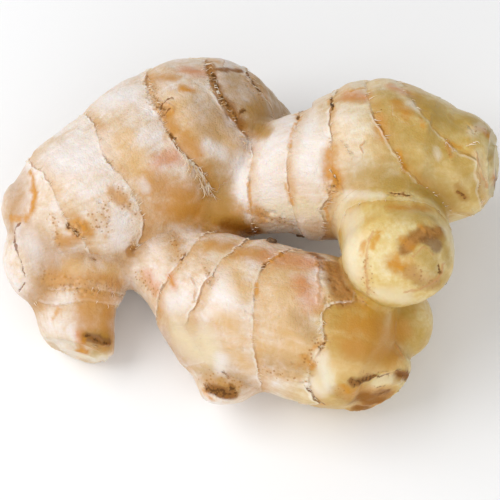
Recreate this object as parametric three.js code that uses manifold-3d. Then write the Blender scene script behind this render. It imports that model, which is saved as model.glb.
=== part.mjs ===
// A hand of fresh ginger: one grown rhizome of fingers, knobs and buds, girdled by the scars of its
// scale leaves.
//
// Millimetres, +Z up, standing on Z = 0 with the origin under the middle of its box. The limbs are laid
// out in a growth frame, X along the hand, Y across it and Z out of its flat side, and the whole hand
// then leans back by LEAN to rest on three low points: the tip of one knob, the end of the lower finger
// and the snapped stub behind.
//
// Each limb is a loft of sections along a spine. Its sections follow the ring scars, so that every scar
// is a real lip: the older side stands proud and the younger side drops away from it. The limbs are
// joined into one solid.

import * as THREE from 'three';
import { LoftGeometry } from 'three/addons/geometries/LoftGeometry.js';
import { ImprovedNoise } from 'three/addons/math/ImprovedNoise.js';
import { mergeVertices } from 'three/addons/utils/BufferGeometryUtils.js';
import Module from 'manifold-3d';

const wasm = await Module();
wasm.setup();

// ---- Driving dimensions -----------------------------------------------------------------------------

const LEAN = THREE.MathUtils.degToRad(27); // from the growth frame to the resting pose, about X
const SEAT = new THREE.Vector3(-0.1, -3.96, 24.7); // where the growth origin then stands

const FLATNESS = 0.92; // a limb's thickness out of the flat side, against its width
const LIP = 0.55; // how far a ring scar's older side stands proud
const LIP_RUN = 2.6; // the length over which it rises
const DROP = 0.35; // how far the younger side starts below the smooth skin
const DROP_RUN = 0.8; // from the lip's crest to the foot of its step
const DROP_FADE = 4.5; // from that foot back to the smooth skin
const WAVER = 0.05; // how far a ring wanders along its limb, against the limb's radius
const SWELL = 0.035; // how far the skin bellies out between two rings, against the radius
const LUMP = 0.7; // height of the low lumps all over
const LUMP_SIZE = 15; // and their size
const CLOSEST = 3.5; // the least distance between two rings of a limb
const STEP = 9; // the longest gap between two sections
const ROOT_STOPS = [0.15, 1.2, 3]; // the first sections of a limb, by the distance from its root
const NOSE_STOPS = [1, 0.65, 0.38, 0.18, 0.06, 0.005]; // the last, as shares of its nose from its tip
const BLUNTNESS = 2.4; // how blunt a rounded end is, where 2 is a ball

// A limb's spine is a list of [x, y, z, radius] in the growth frame, from its root to its tip. Its
// rings are { at, lean: [out, across] }: at is the distance from the root, and lean is how far the ring
// slopes along the limb for each millimetre out of the hand's flat side and across it. nose is the
// length of the rounded tip. A cut is where the tip was snapped or sliced off: a point of the cut face,
// and the way that the face looks.
const LIMBS = {
  trunk: {
    spine: [
      [-62, 1.2, -5, 9.5], [-56, 2.8, -5, 13.4], [-47.4, 7, -6, 18], [-36.5, 12.4, -8, 20.3],
      [-26.6, 19, -11, 21.5], [-17.4, 25.4, -14, 21.4], [-8.6, 29.6, -18.5, 18.6], [-3.8, 29.8, -24, 14],
      [1, 28, -30, 12], [4.6, 26, -35, 10.4], [7.5, 24.6, -38.8, 9],
    ],
    rings: [
      { at: 14, lean: [0, 0.1] }, { at: 29.4, lean: [0, -0.15] }, { at: 51, lean: [-0.25, 0] },
      { at: 63.5, lean: [-0.2, 0.08] }, { at: 75, lean: [-0.2, 0] },
    ],
    nose: 4, sides: 32,
  },
  right_finger: {
    spine: [
      [-17, 9.6, -12, 11], [-8, 10, -11, 12], [1.3, 12.2, -9, 12.2], [11.3, 15.4, -7, 15.6],
      [21.3, 16.4, -5, 18.2], [31.3, 20, -4, 19.8], [39, 20.8, -3, 19.4], [46.8, 19.1, -2, 18.1],
      [53, 18.4, -0.5, 15], [58.5, 18.7, 1, 12.6], [62.5, 18.8, 2, 9.8], [66, 18.8, 3, 7.6],
    ],
    rings: [
      { at: 20.3, lean: [0, -0.28] }, { at: 32, lean: [-0.08, -0.08] }, { at: 41, lean: [0, -0.3] },
      { at: 65.5, lean: [-0.3, 0.62] }, { at: 78, lean: [0, 1.75] },
    ],
    nose: 5, sides: 30,
    cut: { point: [62.8, 18.8, 2], facing: [0.96, -0.03, 0.28] },
  },
  front_stub: {
    spine: [
      [34, 10, -3, 13], [36, 3, 6, 14.2], [37, -2.4, 14, 14.1], [37, -6.2, 22, 13.8],
      [37.2, -8.2, 29, 11.6],
    ],
    rings: [{ at: 21, lean: [0, 0] }],
    nose: 8, sides: 24, facing: 'y',
  },
  lower_finger: {
    spine: [
      [-29, -2, -8, 10.5], [-20.4, -8, -5, 11.8], [-13, -13.2, -1, 15], [-3, -18.4, 3, 17.6],
      [7, -20.8, 5, 18], [15.5, -23.7, 5, 19], [23, -25.6, 5, 19.2],
      [29.5, -27, 4.5, 17.4], [35.5, -29, 4, 14.6],
    ],
    rings: [
      { at: 17.5, lean: [0.03, 0.08] }, { at: 26, lean: [0.15, -0.05] },
      { at: 44.3, lean: [-0.24, 0.07] }, { at: 53.5, lean: [0, 0.24] },
    ],
    nose: 9, sides: 30,
  },
  toe: {
    spine: [[20, -24, 4, 14], [25, -30.5, 6, 13], [30, -35.5, 7, 11.5], [36, -42, 8, 9.8]],
    rings: [],
    nose: 4, sides: 20,
    cut: { point: [33.8, -39.6, 9], facing: [0.33, -0.78, 0.52] },
  },
  side_lobe: {
    spine: [[28, -22, 2, 10], [36, -22.3, 1, 9.8], [41.5, -22.8, 0.5, 9.2], [47.4, -23.2, 0, 7.4]],
    rings: [],
    nose: 6, sides: 18,
  },
  small_knob: {
    spine: [
      [-8.5, -20, 3, 14], [-7.8, -27, 4, 12], [-6.4, -33, 4.5, 9], [-5.8, -38, 5, 7.8],
      [-5.4, -43.6, 5, 6.8],
    ],
    rings: [{ at: 12, lean: [0, 0] }],
    nose: 4, sides: 20,
  },
  left_knob: {
    spine: [
      [-45, -4, -6, 13], [-45.6, -14, -5, 12.4], [-45.7, -20, -4.5, 11], [-45, -26.5, -4, 9.5],
      [-43, -35, -4, 7.8],
    ],
    rings: [{ at: 10.2, lean: [-0.05, -0.08] }, { at: 14.5, lean: [0, 0] }],
    nose: 3, sides: 22,
    cut: { point: [-43, -29.8, 0], facing: [-0.25, -0.9, 0.35] },
  },
  upper_bud: {
    spine: [[-50, 5, -4, 8], [-56, 6.6, -3.5, 8], [-60.5, 6, -3, 7.8], [-64.8, 5.2, -3, 6.4]],
    rings: [],
    nose: 5, sides: 20,
  },
  lower_bud: {
    spine: [[-45, -1, -6, 9], [-52.6, -5.4, -4, 10.8], [-58.2, -8.2, -3, 11], [-63.8, -10.2, -3, 8.6]],
    rings: [],
    nose: 7, sides: 20,
  },
};

// Dormant buds, or eyes, sit on the ring scars, and the stubs of broken roots grow mostly from the
// underside. Both are { limb, at, angle }: the distance from the limb's root, and the degrees round it
// from its outer side.
const EYE = { radius: 2.7, height: 0.9 };
const EYES = [
  { limb: 'trunk', at: 14.5, angle: 22 }, { limb: 'trunk', at: 28.5, angle: 200 },
  { limb: 'trunk', at: 47.5, angle: -22 }, { limb: 'trunk', at: 66.5, angle: 150 },
  { limb: 'right_finger', at: 31.5, angle: 185 }, { limb: 'right_finger', at: 40.5, angle: 14 },
  { limb: 'lower_finger', at: 25.5, angle: 165 }, { limb: 'lower_finger', at: 44.5, angle: 196 },
];
const ROOT = { base: 1.3, tip: 0.8, height: 2, sunk: 2, sides: 6 };
const ROOTS = [
  { limb: 'trunk', at: 22, angle: 165 }, { limb: 'trunk', at: 33, angle: 128 },
  { limb: 'trunk', at: 38, angle: -150 }, { limb: 'trunk', at: 44, angle: 178 },
  { limb: 'trunk', at: 57, angle: -112 },
  { limb: 'right_finger', at: 27, angle: 96 }, { limb: 'right_finger', at: 36, angle: 150 },
  { limb: 'right_finger', at: 49, angle: 172 }, { limb: 'right_finger', at: 57, angle: -140 },
  { limb: 'front_stub', at: 27, angle: -128 }, { limb: 'lower_finger', at: 38.5, angle: -84 },
  { limb: 'lower_finger', at: 36, angle: 150 }, { limb: 'lower_finger', at: 31, angle: -160 },
  { limb: 'lower_finger', at: 58, angle: 118 }, { limb: 'left_knob', at: 17, angle: -170 },
];

// ---- Limbs ------------------------------------------------------------------------------------------

const noise = new ImprovedNoise();

// The spine as a curve with its length in millimetres: its point, direction and girth at a distance
// from the root.
function spineOf(points) {
  const smooth = (list) => new THREE.CatmullRomCurve3(list, false, 'catmullrom', 0.5);
  const line = smooth(points.map(([x, y, z]) => new THREE.Vector3(x, y, z)));
  const girth = smooth(points.map(([, , , r]) => new THREE.Vector3(r, 0, 0)));
  line.arcLengthDivisions = 400;
  const length = line.getLength();
  return {
    length,
    at(distance) {
      const t = line.getUtoTmapping(THREE.MathUtils.clamp(distance / length, 0, 1));
      return { point: line.getPoint(t), along: line.getTangent(t), radius: girth.getPoint(t).x };
    },
  };
}

// How far from the root each ring runs, as a function of the angle round the limb. A ring wanders by
// two slow waves of its own, stays clear of the ring before it and never runs off the tip. The limb's
// two ends close the list.
function runsOf(rings, spine, nose) {
  const runs = [() => 0];
  rings.forEach(({ at, lean: [out, across] }, i) => {
    const { radius } = spine.at(at);
    const before = runs.at(-1);
    runs.push((angle) => {
      const slope = out * Math.cos(angle) + across * Math.sin(angle);
      const waves = Math.sin(2 * angle + 1.7 * i + 1.7) + 0.6 * Math.sin(5 * angle + 2.9 * i + 2.9);
      const run = at + radius * (slope + WAVER * waves);
      return Math.min(Math.max(run, before(angle) + CLOSEST), spine.length - 1.2 * nose);
    });
  });
  runs.push(() => spine.length);
  return runs;
}

// The lip of a ring scar, by the distance past its crest: a slow rise, a sharp step down and a slow
// recovery.
function lip(past) {
  if (past <= 0) return LIP * Math.max(0, 1 + past / LIP_RUN) ** 2;
  if (past < DROP_RUN) return THREE.MathUtils.lerp(LIP, -DROP, past / DROP_RUN);
  return -DROP * Math.max(0, 1 - (past - DROP_RUN) / DROP_FADE);
}

// The share of full girth near a rounded end, by the distance from that end.
function dome(distance, nose) {
  const t = THREE.MathUtils.clamp(1 - distance / nose, 0, 1);
  return (1 - t ** BLUNTNESS) ** (1 / BLUNTNESS);
}

// Where the sections between two rings lie, from the distances of the two at one angle. They sit close
// behind the older ring's step, evenly along the smooth skin, and close before the younger ring's crest
// or round the nose. widest is the widest distance between the two rings. Where they come closer, the
// sections close up with them.
function stopsBetween(widest, { first, last, nose }) {
  const near = first ? ROOT_STOPS : [0, DROP_RUN, DROP_RUN + 0.45 * DROP_FADE];
  const far = last ? NOSE_STOPS.map((share) => share * nose) : [LIP_RUN, 0.4 * LIP_RUN];
  const smooth = Math.max(0, Math.ceil((widest - near.at(-1) - far[0]) / STEP) - 1);
  const closing = (before, after, room) => Math.min(1, (0.45 * (after - before)) / room);
  const behind = (offset) => (before, after) => before + offset * closing(before, after, near.at(-1));
  const ahead = (offset) => (before, after) => after - offset * closing(before, after, far[0]);
  const along = (share) => (before, after) =>
    THREE.MathUtils.lerp(behind(near.at(-1))(before, after), ahead(far[0])(before, after), share);
  return [
    ...near.map(behind),
    ...Array.from({ length: smooth }, (_, k) => along((k + 1) / (smooth + 1))),
    ...far.map(ahead),
  ];
}

// The skin of a limb without its scars: the point at a distance from the root and an angle round the
// spine, with the skin lifted off by some height, and the way out from the spine there.
function skinOf(spine, facing = 'z') {
  const out = facing === 'z' ? new THREE.Vector3(0, 0, 1) : new THREE.Vector3(0, 1, 0);
  return (distance, angle, lift, share = 1) => {
    const { point, along, radius } = spine.at(distance);
    const up = out.clone().addScaledVector(along, -out.dot(along)).normalize();
    const side = along.clone().cross(up);
    const reach = (radius + lift) * share;
    const outward = up.multiplyScalar(FLATNESS * Math.cos(angle)).addScaledVector(side, Math.sin(angle));
    const spot = point.clone().addScaledVector(outward, reach);
    const lump = noise.noise(spot.x / LUMP_SIZE, spot.y / LUMP_SIZE, spot.z / LUMP_SIZE + 7.3);
    return { spot: spot.addScaledVector(outward, LUMP * lump * share), outward: outward.normalize() };
  };
}

function limbGeometry({ spine: points, rings, nose, sides, facing }) {
  const spine = spineOf(points);
  const skin = skinOf(spine, facing);
  const runs = runsOf(rings, spine, nose);
  const angles = Array.from({ length: sides }, (_, k) => (2 * Math.PI * k) / sides);
  const sections = [];

  for (let i = 0; i + 1 < runs.length; i++) {
    const first = i === 0;
    const last = i + 2 === runs.length;
    const widest = Math.max(...angles.map((angle) => runs[i + 1](angle) - runs[i](angle)));
    for (const stop of stopsBetween(widest, { first, last, nose })) {
      const section = angles.map((angle) => {
        const before = runs[i](angle);
        const after = runs[i + 1](angle);
        const distance = stop(before, after);
        const between = (distance - before) / (after - before);
        const belly = first || last ? 0 : SWELL * spine.at(distance).radius * Math.sin(Math.PI * between);
        const scars = (first ? 0 : lip(distance - before)) + (last ? 0 : lip(distance - after));
        const round = dome(spine.length - distance, nose) * dome(distance, ROOT_STOPS.at(-1));
        return skin(distance, angle, belly + scars, round).spot;
      });
      sections.push(section);
    }
  }
  return new LoftGeometry(sections, { capStart: true, capEnd: true });
}

// A small shape made along +Z from the skin up, set down on its limb at a distance and an angle in
// degrees.
function setOnSkin(geometry, { limb, at, angle }) {
  const { spine, facing } = LIMBS[limb];
  const { spot, outward } = skinOf(spineOf(spine), facing)(at, THREE.MathUtils.degToRad(angle), 0);
  const turn = new THREE.Quaternion().setFromUnitVectors(new THREE.Vector3(0, 0, 1), outward);
  return geometry.applyQuaternion(turn).translate(spot.x, spot.y, spot.z);
}

function eyeGeometry(place) {
  const ball = new THREE.SphereGeometry(EYE.radius, 9, 6).rotateX(Math.PI / 2);
  return setOnSkin(ball.scale(1, 1, EYE.height / EYE.radius), place);
}

function rootGeometry(place) {
  const length = ROOT.height + ROOT.sunk;
  const stub = new THREE.CylinderGeometry(ROOT.tip, ROOT.base, length, ROOT.sides).rotateX(Math.PI / 2);
  return setOnSkin(stub.translate(0, 0, length / 2 - ROOT.sunk), place);
}

// What a cut takes away: a block that starts at the cut face.
function cutGeometry({ point, facing }) {
  const size = 60;
  const turn = new THREE.Quaternion().setFromUnitVectors(
    new THREE.Vector3(0, 0, 1),
    new THREE.Vector3(...facing).normalize(),
  );
  return new THREE.BoxGeometry(size, size, size)
    .translate(0, 0, size / 2)
    .applyQuaternion(turn)
    .translate(...point);
}

// ---- Solids -----------------------------------------------------------------------------------------

function solidOf(geometry) {
  const bare = new THREE.BufferGeometry();
  bare.setAttribute('position', geometry.getAttribute('position'));
  bare.setIndex(geometry.getIndex());
  const merged = mergeVertices(bare, 1e-4);
  return new wasm.Manifold(
    new wasm.Mesh({
      numProp: 3,
      vertProperties: merged.attributes.position.array,
      triVerts: new Uint32Array(merged.index.array),
    }),
  );
}

function geometryOf(solid) {
  const { numProp, vertProperties, triVerts } = solid.getMesh();
  const positions = new Float32Array((vertProperties.length / numProp) * 3);
  for (let i = 0; i < positions.length / 3; i++) {
    positions.set(vertProperties.subarray(i * numProp, i * numProp + 3), i * 3);
  }
  const geometry = new THREE.BufferGeometry();
  geometry.setAttribute('position', new THREE.BufferAttribute(positions, 3));
  geometry.setIndex(new THREE.BufferAttribute(triVerts, 1));
  geometry.computeVertexNormals();
  return geometry;
}

const resting = new THREE.Matrix4().makeRotationX(LEAN).setPosition(SEAT);

const limbs = Object.values(LIMBS).map((limb) => {
  const uncut = solidOf(limbGeometry(limb));
  return limb.cut ? uncut.subtract(solidOf(cutGeometry(limb.cut))) : uncut;
});
const small = [...EYES.map(eyeGeometry), ...ROOTS.map(rootGeometry)].map(solidOf);
const grown = [...limbs, ...small].reduce((hand, piece) => hand.add(piece));

// The three low points are pressed flat where they rest. Keeping only the outermost body fills any
// hollow that two limbs seal in between them.
const ground = new THREE.BoxGeometry(300, 300, 100).translate(0, 0, -50);
const rested = solidOf(geometryOf(grown).applyMatrix4(resting));
const whole = rested
  .subtract(solidOf(ground))
  .decompose()
  .reduce((largest, body) => (body.volume() > largest.volume() ? body : largest));

// ---- The part ---------------------------------------------------------------------------------------

const skin = new THREE.MeshStandardMaterial({ color: 0xe6cfa6, roughness: 0.55, metalness: 0 });
const rhizome = new THREE.Mesh(geometryOf(whole), skin);
rhizome.name = 'rhizome';

const ginger = new THREE.Group();
ginger.add(rhizome);

export default ginger;
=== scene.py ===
import math
import random

import bmesh
import bpy
import numpy as np
from mathutils import Matrix, Vector, noise
from mathutils.bvhtree import BVHTree


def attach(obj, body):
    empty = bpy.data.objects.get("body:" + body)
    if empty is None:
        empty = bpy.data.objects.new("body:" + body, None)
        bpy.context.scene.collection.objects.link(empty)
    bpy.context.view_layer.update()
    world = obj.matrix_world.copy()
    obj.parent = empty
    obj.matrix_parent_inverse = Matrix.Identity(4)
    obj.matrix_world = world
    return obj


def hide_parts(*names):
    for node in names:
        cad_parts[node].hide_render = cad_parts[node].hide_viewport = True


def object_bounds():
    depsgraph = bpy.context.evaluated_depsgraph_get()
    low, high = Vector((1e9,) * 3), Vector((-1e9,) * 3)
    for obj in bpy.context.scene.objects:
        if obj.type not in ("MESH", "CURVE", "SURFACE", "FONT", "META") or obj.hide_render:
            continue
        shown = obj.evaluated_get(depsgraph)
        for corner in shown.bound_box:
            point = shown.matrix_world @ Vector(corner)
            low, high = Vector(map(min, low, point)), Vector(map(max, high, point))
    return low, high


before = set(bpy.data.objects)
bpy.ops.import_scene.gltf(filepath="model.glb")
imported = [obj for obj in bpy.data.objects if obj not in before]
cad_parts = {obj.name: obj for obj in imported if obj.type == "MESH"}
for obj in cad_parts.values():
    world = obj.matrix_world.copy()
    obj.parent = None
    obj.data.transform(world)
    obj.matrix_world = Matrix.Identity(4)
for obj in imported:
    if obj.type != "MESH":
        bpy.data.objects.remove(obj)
cad_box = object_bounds()

# A hand of fresh ginger, lying on a pale table.
#
# The skin is one piece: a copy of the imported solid, made into an even mesh, drawn back onto the smooth limbs
# that it is built of, and then worked over as a sculptor would: ring scars with ragged lips, eyes, pits,
# creases and cut ends. The dry fringes of the ring scars, loose fibres, what is left of old roots and the
# stubs of broken ones stand on it as pieces of their own.
#
# The limbs are laid out in the growth frame, in millimetres: X along the hand, Y across it and Z out of its
# flat side. The hand then leans back by LEAN, and its growth origin comes to stand at SEAT.

MM = 0.001
LEAN = math.radians(27)
SEAT = np.array([-0.1, -3.96, 24.7])
RESTING = np.array([
    [1, 0, 0],
    [0, math.cos(LEAN), -math.sin(LEAN)],
    [0, math.sin(LEAN), math.cos(LEAN)],
])

# ---- The limbs ------------------------------------------------------------------------------------------

FLATNESS = 0.92  # a limb's thickness out of the flat side, against its width
WAVER = 0.05  # how far a ring wanders along its limb, against the limb's radius
SWELL = 0.035  # how far the skin bellies out between two rings, against the radius
# Gentle rises and hollows: x and y of the middle, how far they spread and how high they stand.
SWELLINGS = [(48.4, 36.9, 4.5, -1.1), (54.2, 32.4, 3.5, 0.6)]
CLOSEST = 3.5  # the least distance between two rings
DRAWN_STEP = math.radians(4)  # how finely a ring follows the line that it is drawn by
DRAWN_EASE = math.radians(50)  # how far round it goes back to its own line
BLUNTNESS = 2.4  # how blunt a rounded end is, where 2 is a ball
NEVER_YOUNG = (200, 201)  # beyond every limb's tip
ROOT_NOSE = 3  # the length over which a limb's buried root rounds off
SOLID_LIP = (0.55, 2.6, 0.35, 0.8, 4.5)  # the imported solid's lip: crest, its run, drop, its run, its fade
FINE_LIP = (0.36, 1.8, 0.24, 0.25, 3.0)  # the lip that the skin gets in its place


def unit(vectors):
    return vectors / np.linalg.norm(vectors, axis=-1, keepdims=True)


def to_row(points):
    return (np.asarray(points) @ RESTING.T + SEAT) * MM


def to_growth(points):
    return (np.asarray(points) / MM - SEAT) @ RESTING


def smoothstep(low, high, values):
    t = np.clip((values - low) / (high - low), 0, 1)
    return t * t * (3 - 2 * t)


def rough(points, size, seed=0.0):
    """Smooth noise from -1 to 1 at each point, with lumps of about this size in millimetres."""
    return np.array([noise.noise(Vector(p)) for p in points / size + seed])


def catmull_rom(knots, per_span=48):
    """Points along the smooth curve through the knots."""
    knots = np.array(knots, float)
    ends = np.vstack([2 * knots[0] - knots[1], knots, 2 * knots[-1] - knots[-2]])
    t = (np.arange(per_span) / per_span)[:, None]
    spans = []
    for a, b, c, d in zip(ends, ends[1:], ends[2:], ends[3:]):
        leave, arrive = (c - a) / 2, (d - b) / 2
        spans.append(b + leave * t + (3 * (c - b) - 2 * leave - arrive) * t**2
                     + (2 * (b - c) + leave + arrive) * t**3)
    return np.vstack([*spans, knots[-1:]])


def lip_height(past, crest, crest_run, drop, drop_run, drop_fade):
    """The lip of a ring scar: a slow rise on the older side, a step down and a slow recovery."""
    rise = crest * np.clip(1 + past / crest_run, 0, 1) ** 2
    step = crest - (crest + drop) * past / drop_run
    recovery = -drop * np.clip(1 - (past - drop_run) / drop_fade, 0, 1)
    return np.where(past <= 0, rise, np.where(past < drop_run, step, recovery))


def dome(distance, nose):
    t = np.clip(1 - distance / nose, 0, 1)
    return (1 - t**BLUNTNESS) ** (1 / BLUNTNESS)


class Limb:
    """One limb: a spine of [x, y, z, radius], its rings as (at, lean out, lean across, boldness), its rounded
    nose, the plane that its tip was cut off at, its outer side, how far along it the skin turns from papery
    and old to waxy and young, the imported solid's rings where they differ, how softly it runs into its
    neighbours and how bare its cut is."""

    def __init__(self, spine, nose, rings=(), cut=None, facing=(0, 0, 1), young=NEVER_YOUNG, packed=None,
                 fillet=1.1, flesh=0.0):
        line = catmull_rom(spine)
        steps = np.linalg.norm(np.diff(line[:, :3], axis=0), axis=1)
        self.arc = np.concatenate([[0], np.cumsum(steps)])
        self.length = self.arc[-1]
        self.table = np.hstack([line, unit(np.gradient(line[:, :3], self.arc, axis=0))])
        self.bend = np.gradient(self.table[:, 4:], self.arc, axis=0)
        self.nose, self.rings, self.cut, self.young = nose, rings, cut, young
        self.packed, self.fillet, self.flesh = packed or rings, fillet, flesh
        self.drawn = {}
        self.facing = np.array(facing, float)

    def at(self, distance):
        """The spine's point and direction, and the ways up and sideways, at each distance from the root."""
        distance = np.clip(distance, 0, self.length)
        table = np.stack([np.interp(distance, self.arc, column) for column in self.table.T], -1)
        point, along = table[:, :3], unit(table[:, 4:])
        up = unit(self.facing - along * (along @ self.facing)[:, None])
        return point, along, up, np.cross(along, up)

    def runs(self, angle, packed=False):
        """How far from the root the limb's root, each ring and its tip lie at each angle."""
        runs = [np.zeros_like(angle)]
        for i, (at, out, across, *_) in enumerate(self.packed if packed else self.rings):
            slope = out * np.cos(angle) + across * np.sin(angle)
            waves = np.sin(2 * angle + 1.7 * i + 1.7) + 0.6 * np.sin(5 * angle + 2.9 * i + 2.9)
            run = at + np.interp(at, self.arc, self.table[:, 3]) * (slope + WAVER * waves)
            if i in self.drawn and not packed:
                run = run + np.interp(angle, *self.drawn[i], period=2 * math.pi)
            runs.append(np.clip(run, runs[-1] + CLOSEST, self.length - 1.2 * self.nose))
        return np.array([*runs, np.full_like(angle, self.length)])

    def draw(self, i, points):
        """Makes a ring run through points of the skin, and ease back to its own line on the far side."""
        distance, angle, _ = self.locate(points)
        offset = distance - self.runs(angle)[i + 1]
        steps = np.arange(angle.min(), angle.max(), DRAWN_STEP)
        weight = np.exp(-(((steps[:, None] - angle) / DRAWN_STEP) ** 2))
        eased = (weight @ offset) / weight.sum(1)
        self.drawn[i] = ([steps[0] - DRAWN_EASE, *steps, steps[-1] + DRAWN_EASE], [0, *eased, 0])

    def reach(self, distance, runs):
        """How far the bare skin, without lips, stands from the spine."""
        radius = np.interp(distance, self.arc, self.table[:, 3])
        between = np.zeros_like(distance)
        for before, after in zip(runs[1:-2], runs[2:-1]):
            share = np.clip((distance - before) / (after - before), 0, 1)
            between += np.sin(np.pi * share)
        swollen = radius * (1 + SWELL * between)
        return swollen * dome(self.length - distance, self.nose) * dome(distance, ROOT_NOSE)

    def skin(self, distance, angle, lift=0.0):
        """Points of the skin, and the way out from the spine there."""
        point, _, up, side = self.at(distance)
        outward = up * (FLATNESS * np.cos(angle))[:, None] + side * np.sin(angle)[:, None]
        reach = self.reach(distance, self.runs(angle)) + lift
        return point + outward * reach[:, None], unit(outward)

    def locate(self, points):
        """The distance along, the angle round and the reach of points near the limb."""
        every = slice(None, None, 12)
        line, arc = self.table[every, :3], self.arc[every]
        nearest = np.concatenate([
            (((chunk[:, None] - line[None]) ** 2).sum(-1)).argmin(1)
            for chunk in np.array_split(points, 1 + len(points) // 4000)
        ])
        distance = arc[nearest]
        for _ in range(4):
            point, along, up, side = self.at(distance)
            bend = np.stack([np.interp(distance, self.arc, column) for column in self.bend.T], -1)
            slope = np.clip(1 - ((points - point) * bend).sum(1), 0.6, 4)
            distance = np.clip(distance + ((points - point) * along).sum(1) / slope, 0, self.length)
        point, along, up, side = self.at(distance)
        offset = points - point
        out, across = (offset * up).sum(1) / FLATNESS, (offset * side).sum(1)
        beyond = (offset * along).sum(1)
        return distance, np.arctan2(across, out), np.sqrt(out**2 + across**2 + beyond**2)


LIMBS = {
    "trunk": Limb(
        [(-62, 1.2, -5, 9.5), (-56, 2.8, -5, 13.4), (-47.4, 7, -6, 18), (-36.5, 12.4, -8, 20.3),
         (-26.6, 19, -11, 21.5), (-17.4, 25.4, -14, 21.4), (-8.6, 29.6, -18.5, 18.6), (-3.8, 29.8, -24, 14),
         (1, 28, -30, 12), (4.6, 26, -35, 10.4), (7.5, 24.6, -38.8, 9)],
        nose=4,
        rings=[(14, 0, 0.1, 0.5), (29.4, 0, -0.15, 0.65), (51, -0.25, 0, 1.0), (63.5, -0.2, 0.08, 1.5),
               (68, -0.1, 0, 1.2), (77, -0.2, 0, 0.6)],
        packed=[(14, 0, 0.1), (29.4, 0, -0.15), (51, -0.25, 0), (63.5, -0.2, 0.08), (75, -0.2, 0)],
    ),
    "right_finger": Limb(
        [(-17, 9.6, -12, 11), (-8, 10, -11, 12), (1.3, 12.2, -9, 12.2), (11.3, 15.4, -7, 15.6),
         (21.3, 16.4, -5, 18.2), (31.3, 20, -4, 19.8), (39, 20.8, -3, 19.4), (46.8, 19.1, -2, 18.1),
         (53, 18.4, -0.5, 15), (58.5, 18.7, 1, 12.6), (62.5, 18.8, 2, 9.8), (66, 18.8, 3, 7.6)],
        nose=5,
        rings=[(20.3, 0, -0.28, 0.6), (32, -0.08, -0.08, 0.55), (41, 0, -0.3, 0.7), (65.5, -0.3, 0.62, 0.6),
               (78, 0, 1.75, 0.35)],
        cut=((62.8, 18.8, 2), (0.96, -0.03, 0.28)),
        young=(34, 70),
        flesh=1,
    ),
    "front_stub": Limb(
        [(34, 10, -3, 13), (36, 3, 6, 14.2), (37, -2.4, 14, 14.1), (37, -6.2, 22, 13.8),
         (37.2, -8.2, 29, 11.6)],
        nose=8,
        rings=[(21, 0, 0, 0.15)],
        facing=(0, 1, 0),
        young=(2, 18),
    ),
    "lower_finger": Limb(
        [(-29, -2, -8, 10.5), (-20.4, -8, -5, 11.8), (-13, -13.2, -1, 15), (-3, -18.4, 3, 17.6),
         (7, -20.8, 5, 18), (15.5, -23.7, 5, 19), (23, -25.6, 5, 19.2), (29.5, -27, 4.5, 17.4),
         (35.5, -29, 4, 14.6)],
        nose=9,
        rings=[(17.5, 0.03, 0.08, 0.5), (26, 0.15, -0.05, 0.6), (44.3, -0.24, 0.07, 0.55),
               (53.5, 0, -0.2, 0.75)],
        packed=[(17.5, 0.03, 0.08), (26, 0.15, -0.05), (44.3, -0.24, 0.07), (53.5, 0, 0.24)],
        young=(48, 60),
    ),
    "toe": Limb(
        [(20, -24, 4, 14), (25, -30.5, 6, 13), (30, -35.5, 7, 11.5), (36, -42, 8, 9.8)],
        nose=4,
        cut=((33.8, -39.6, 9), (0.33, -0.78, 0.52)),
        young=(-2, 10),
        fillet=1.5,
        flesh=0.3,
    ),
    "side_lobe": Limb(
        [(28, -22, 2, 10), (36, -22.3, 1, 9.8), (41.5, -22.8, 0.5, 9.2), (47.4, -23.2, 0, 7.4)],
        nose=6,
        young=(-10, -5),
    ),
    "small_knob": Limb(
        [(-8.5, -20, 3, 14), (-7.8, -27, 4, 12), (-6.4, -33, 4.5, 9), (-5.8, -38, 5, 7.8),
         (-5.4, -43.6, 5, 6.8)],
        nose=4,
        rings=[(12, 0, 0, 0.1)],
        fillet=2.6,
    ),
    "left_knob": Limb(
        [(-45, -4, -6, 13), (-45.6, -14, -5, 12.4), (-45.7, -20, -4.5, 11), (-45, -26.5, -4, 9.5),
         (-43, -35, -4, 7.8)],
        nose=3,
        rings=[(10.2, -0.05, -0.08, 0.6), (14.5, 0, 0, 0.2)],
        cut=((-43, -29.8, 0), (-0.25, -0.9, 0.35)),
        flesh=0.25,
    ),
    "upper_bud": Limb(
        [(-50, 5, -4, 8), (-56, 6.6, -3.5, 8), (-60.5, 6, -3, 7.8), (-64.8, 5.2, -3, 6.4)],
        nose=5,
    ),
    "lower_bud": Limb(
        [(-45, -1, -6, 9), (-52.6, -5.4, -4, 10.8), (-58.2, -8.2, -3, 11), (-63.8, -10.2, -3, 8.6)],
        nose=7,
    ),
}

# Eyes and broken roots: the limb, the distance from its root, and the degrees round it from its outer side.
EYE_RADIUS, EYE_HEIGHT = 2.7, 0.9  # in millimetres
EYES = [
    ("trunk", 14.5, 22), ("trunk", 28.5, 200), ("trunk", 47.5, -22), ("trunk", 66.5, 150),
    ("right_finger", 31.5, 185), ("right_finger", 40.5, 14),
    ("lower_finger", 25.5, 165), ("lower_finger", 44.5, 196),
]
ROOTS = [
    ("trunk", 22, 165), ("trunk", 33, 128), ("trunk", 38, -150), ("trunk", 44, 178), ("trunk", 57, -112),
    ("right_finger", 27, 96), ("right_finger", 36, 150), ("right_finger", 49, 172),
    ("right_finger", 57, -140),
    ("front_stub", 27, -128), ("lower_finger", 38.5, -84), ("lower_finger", 36, 150),
    ("lower_finger", 31, -160), ("lower_finger", 58, 118), ("left_knob", 17, -170),
]

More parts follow.
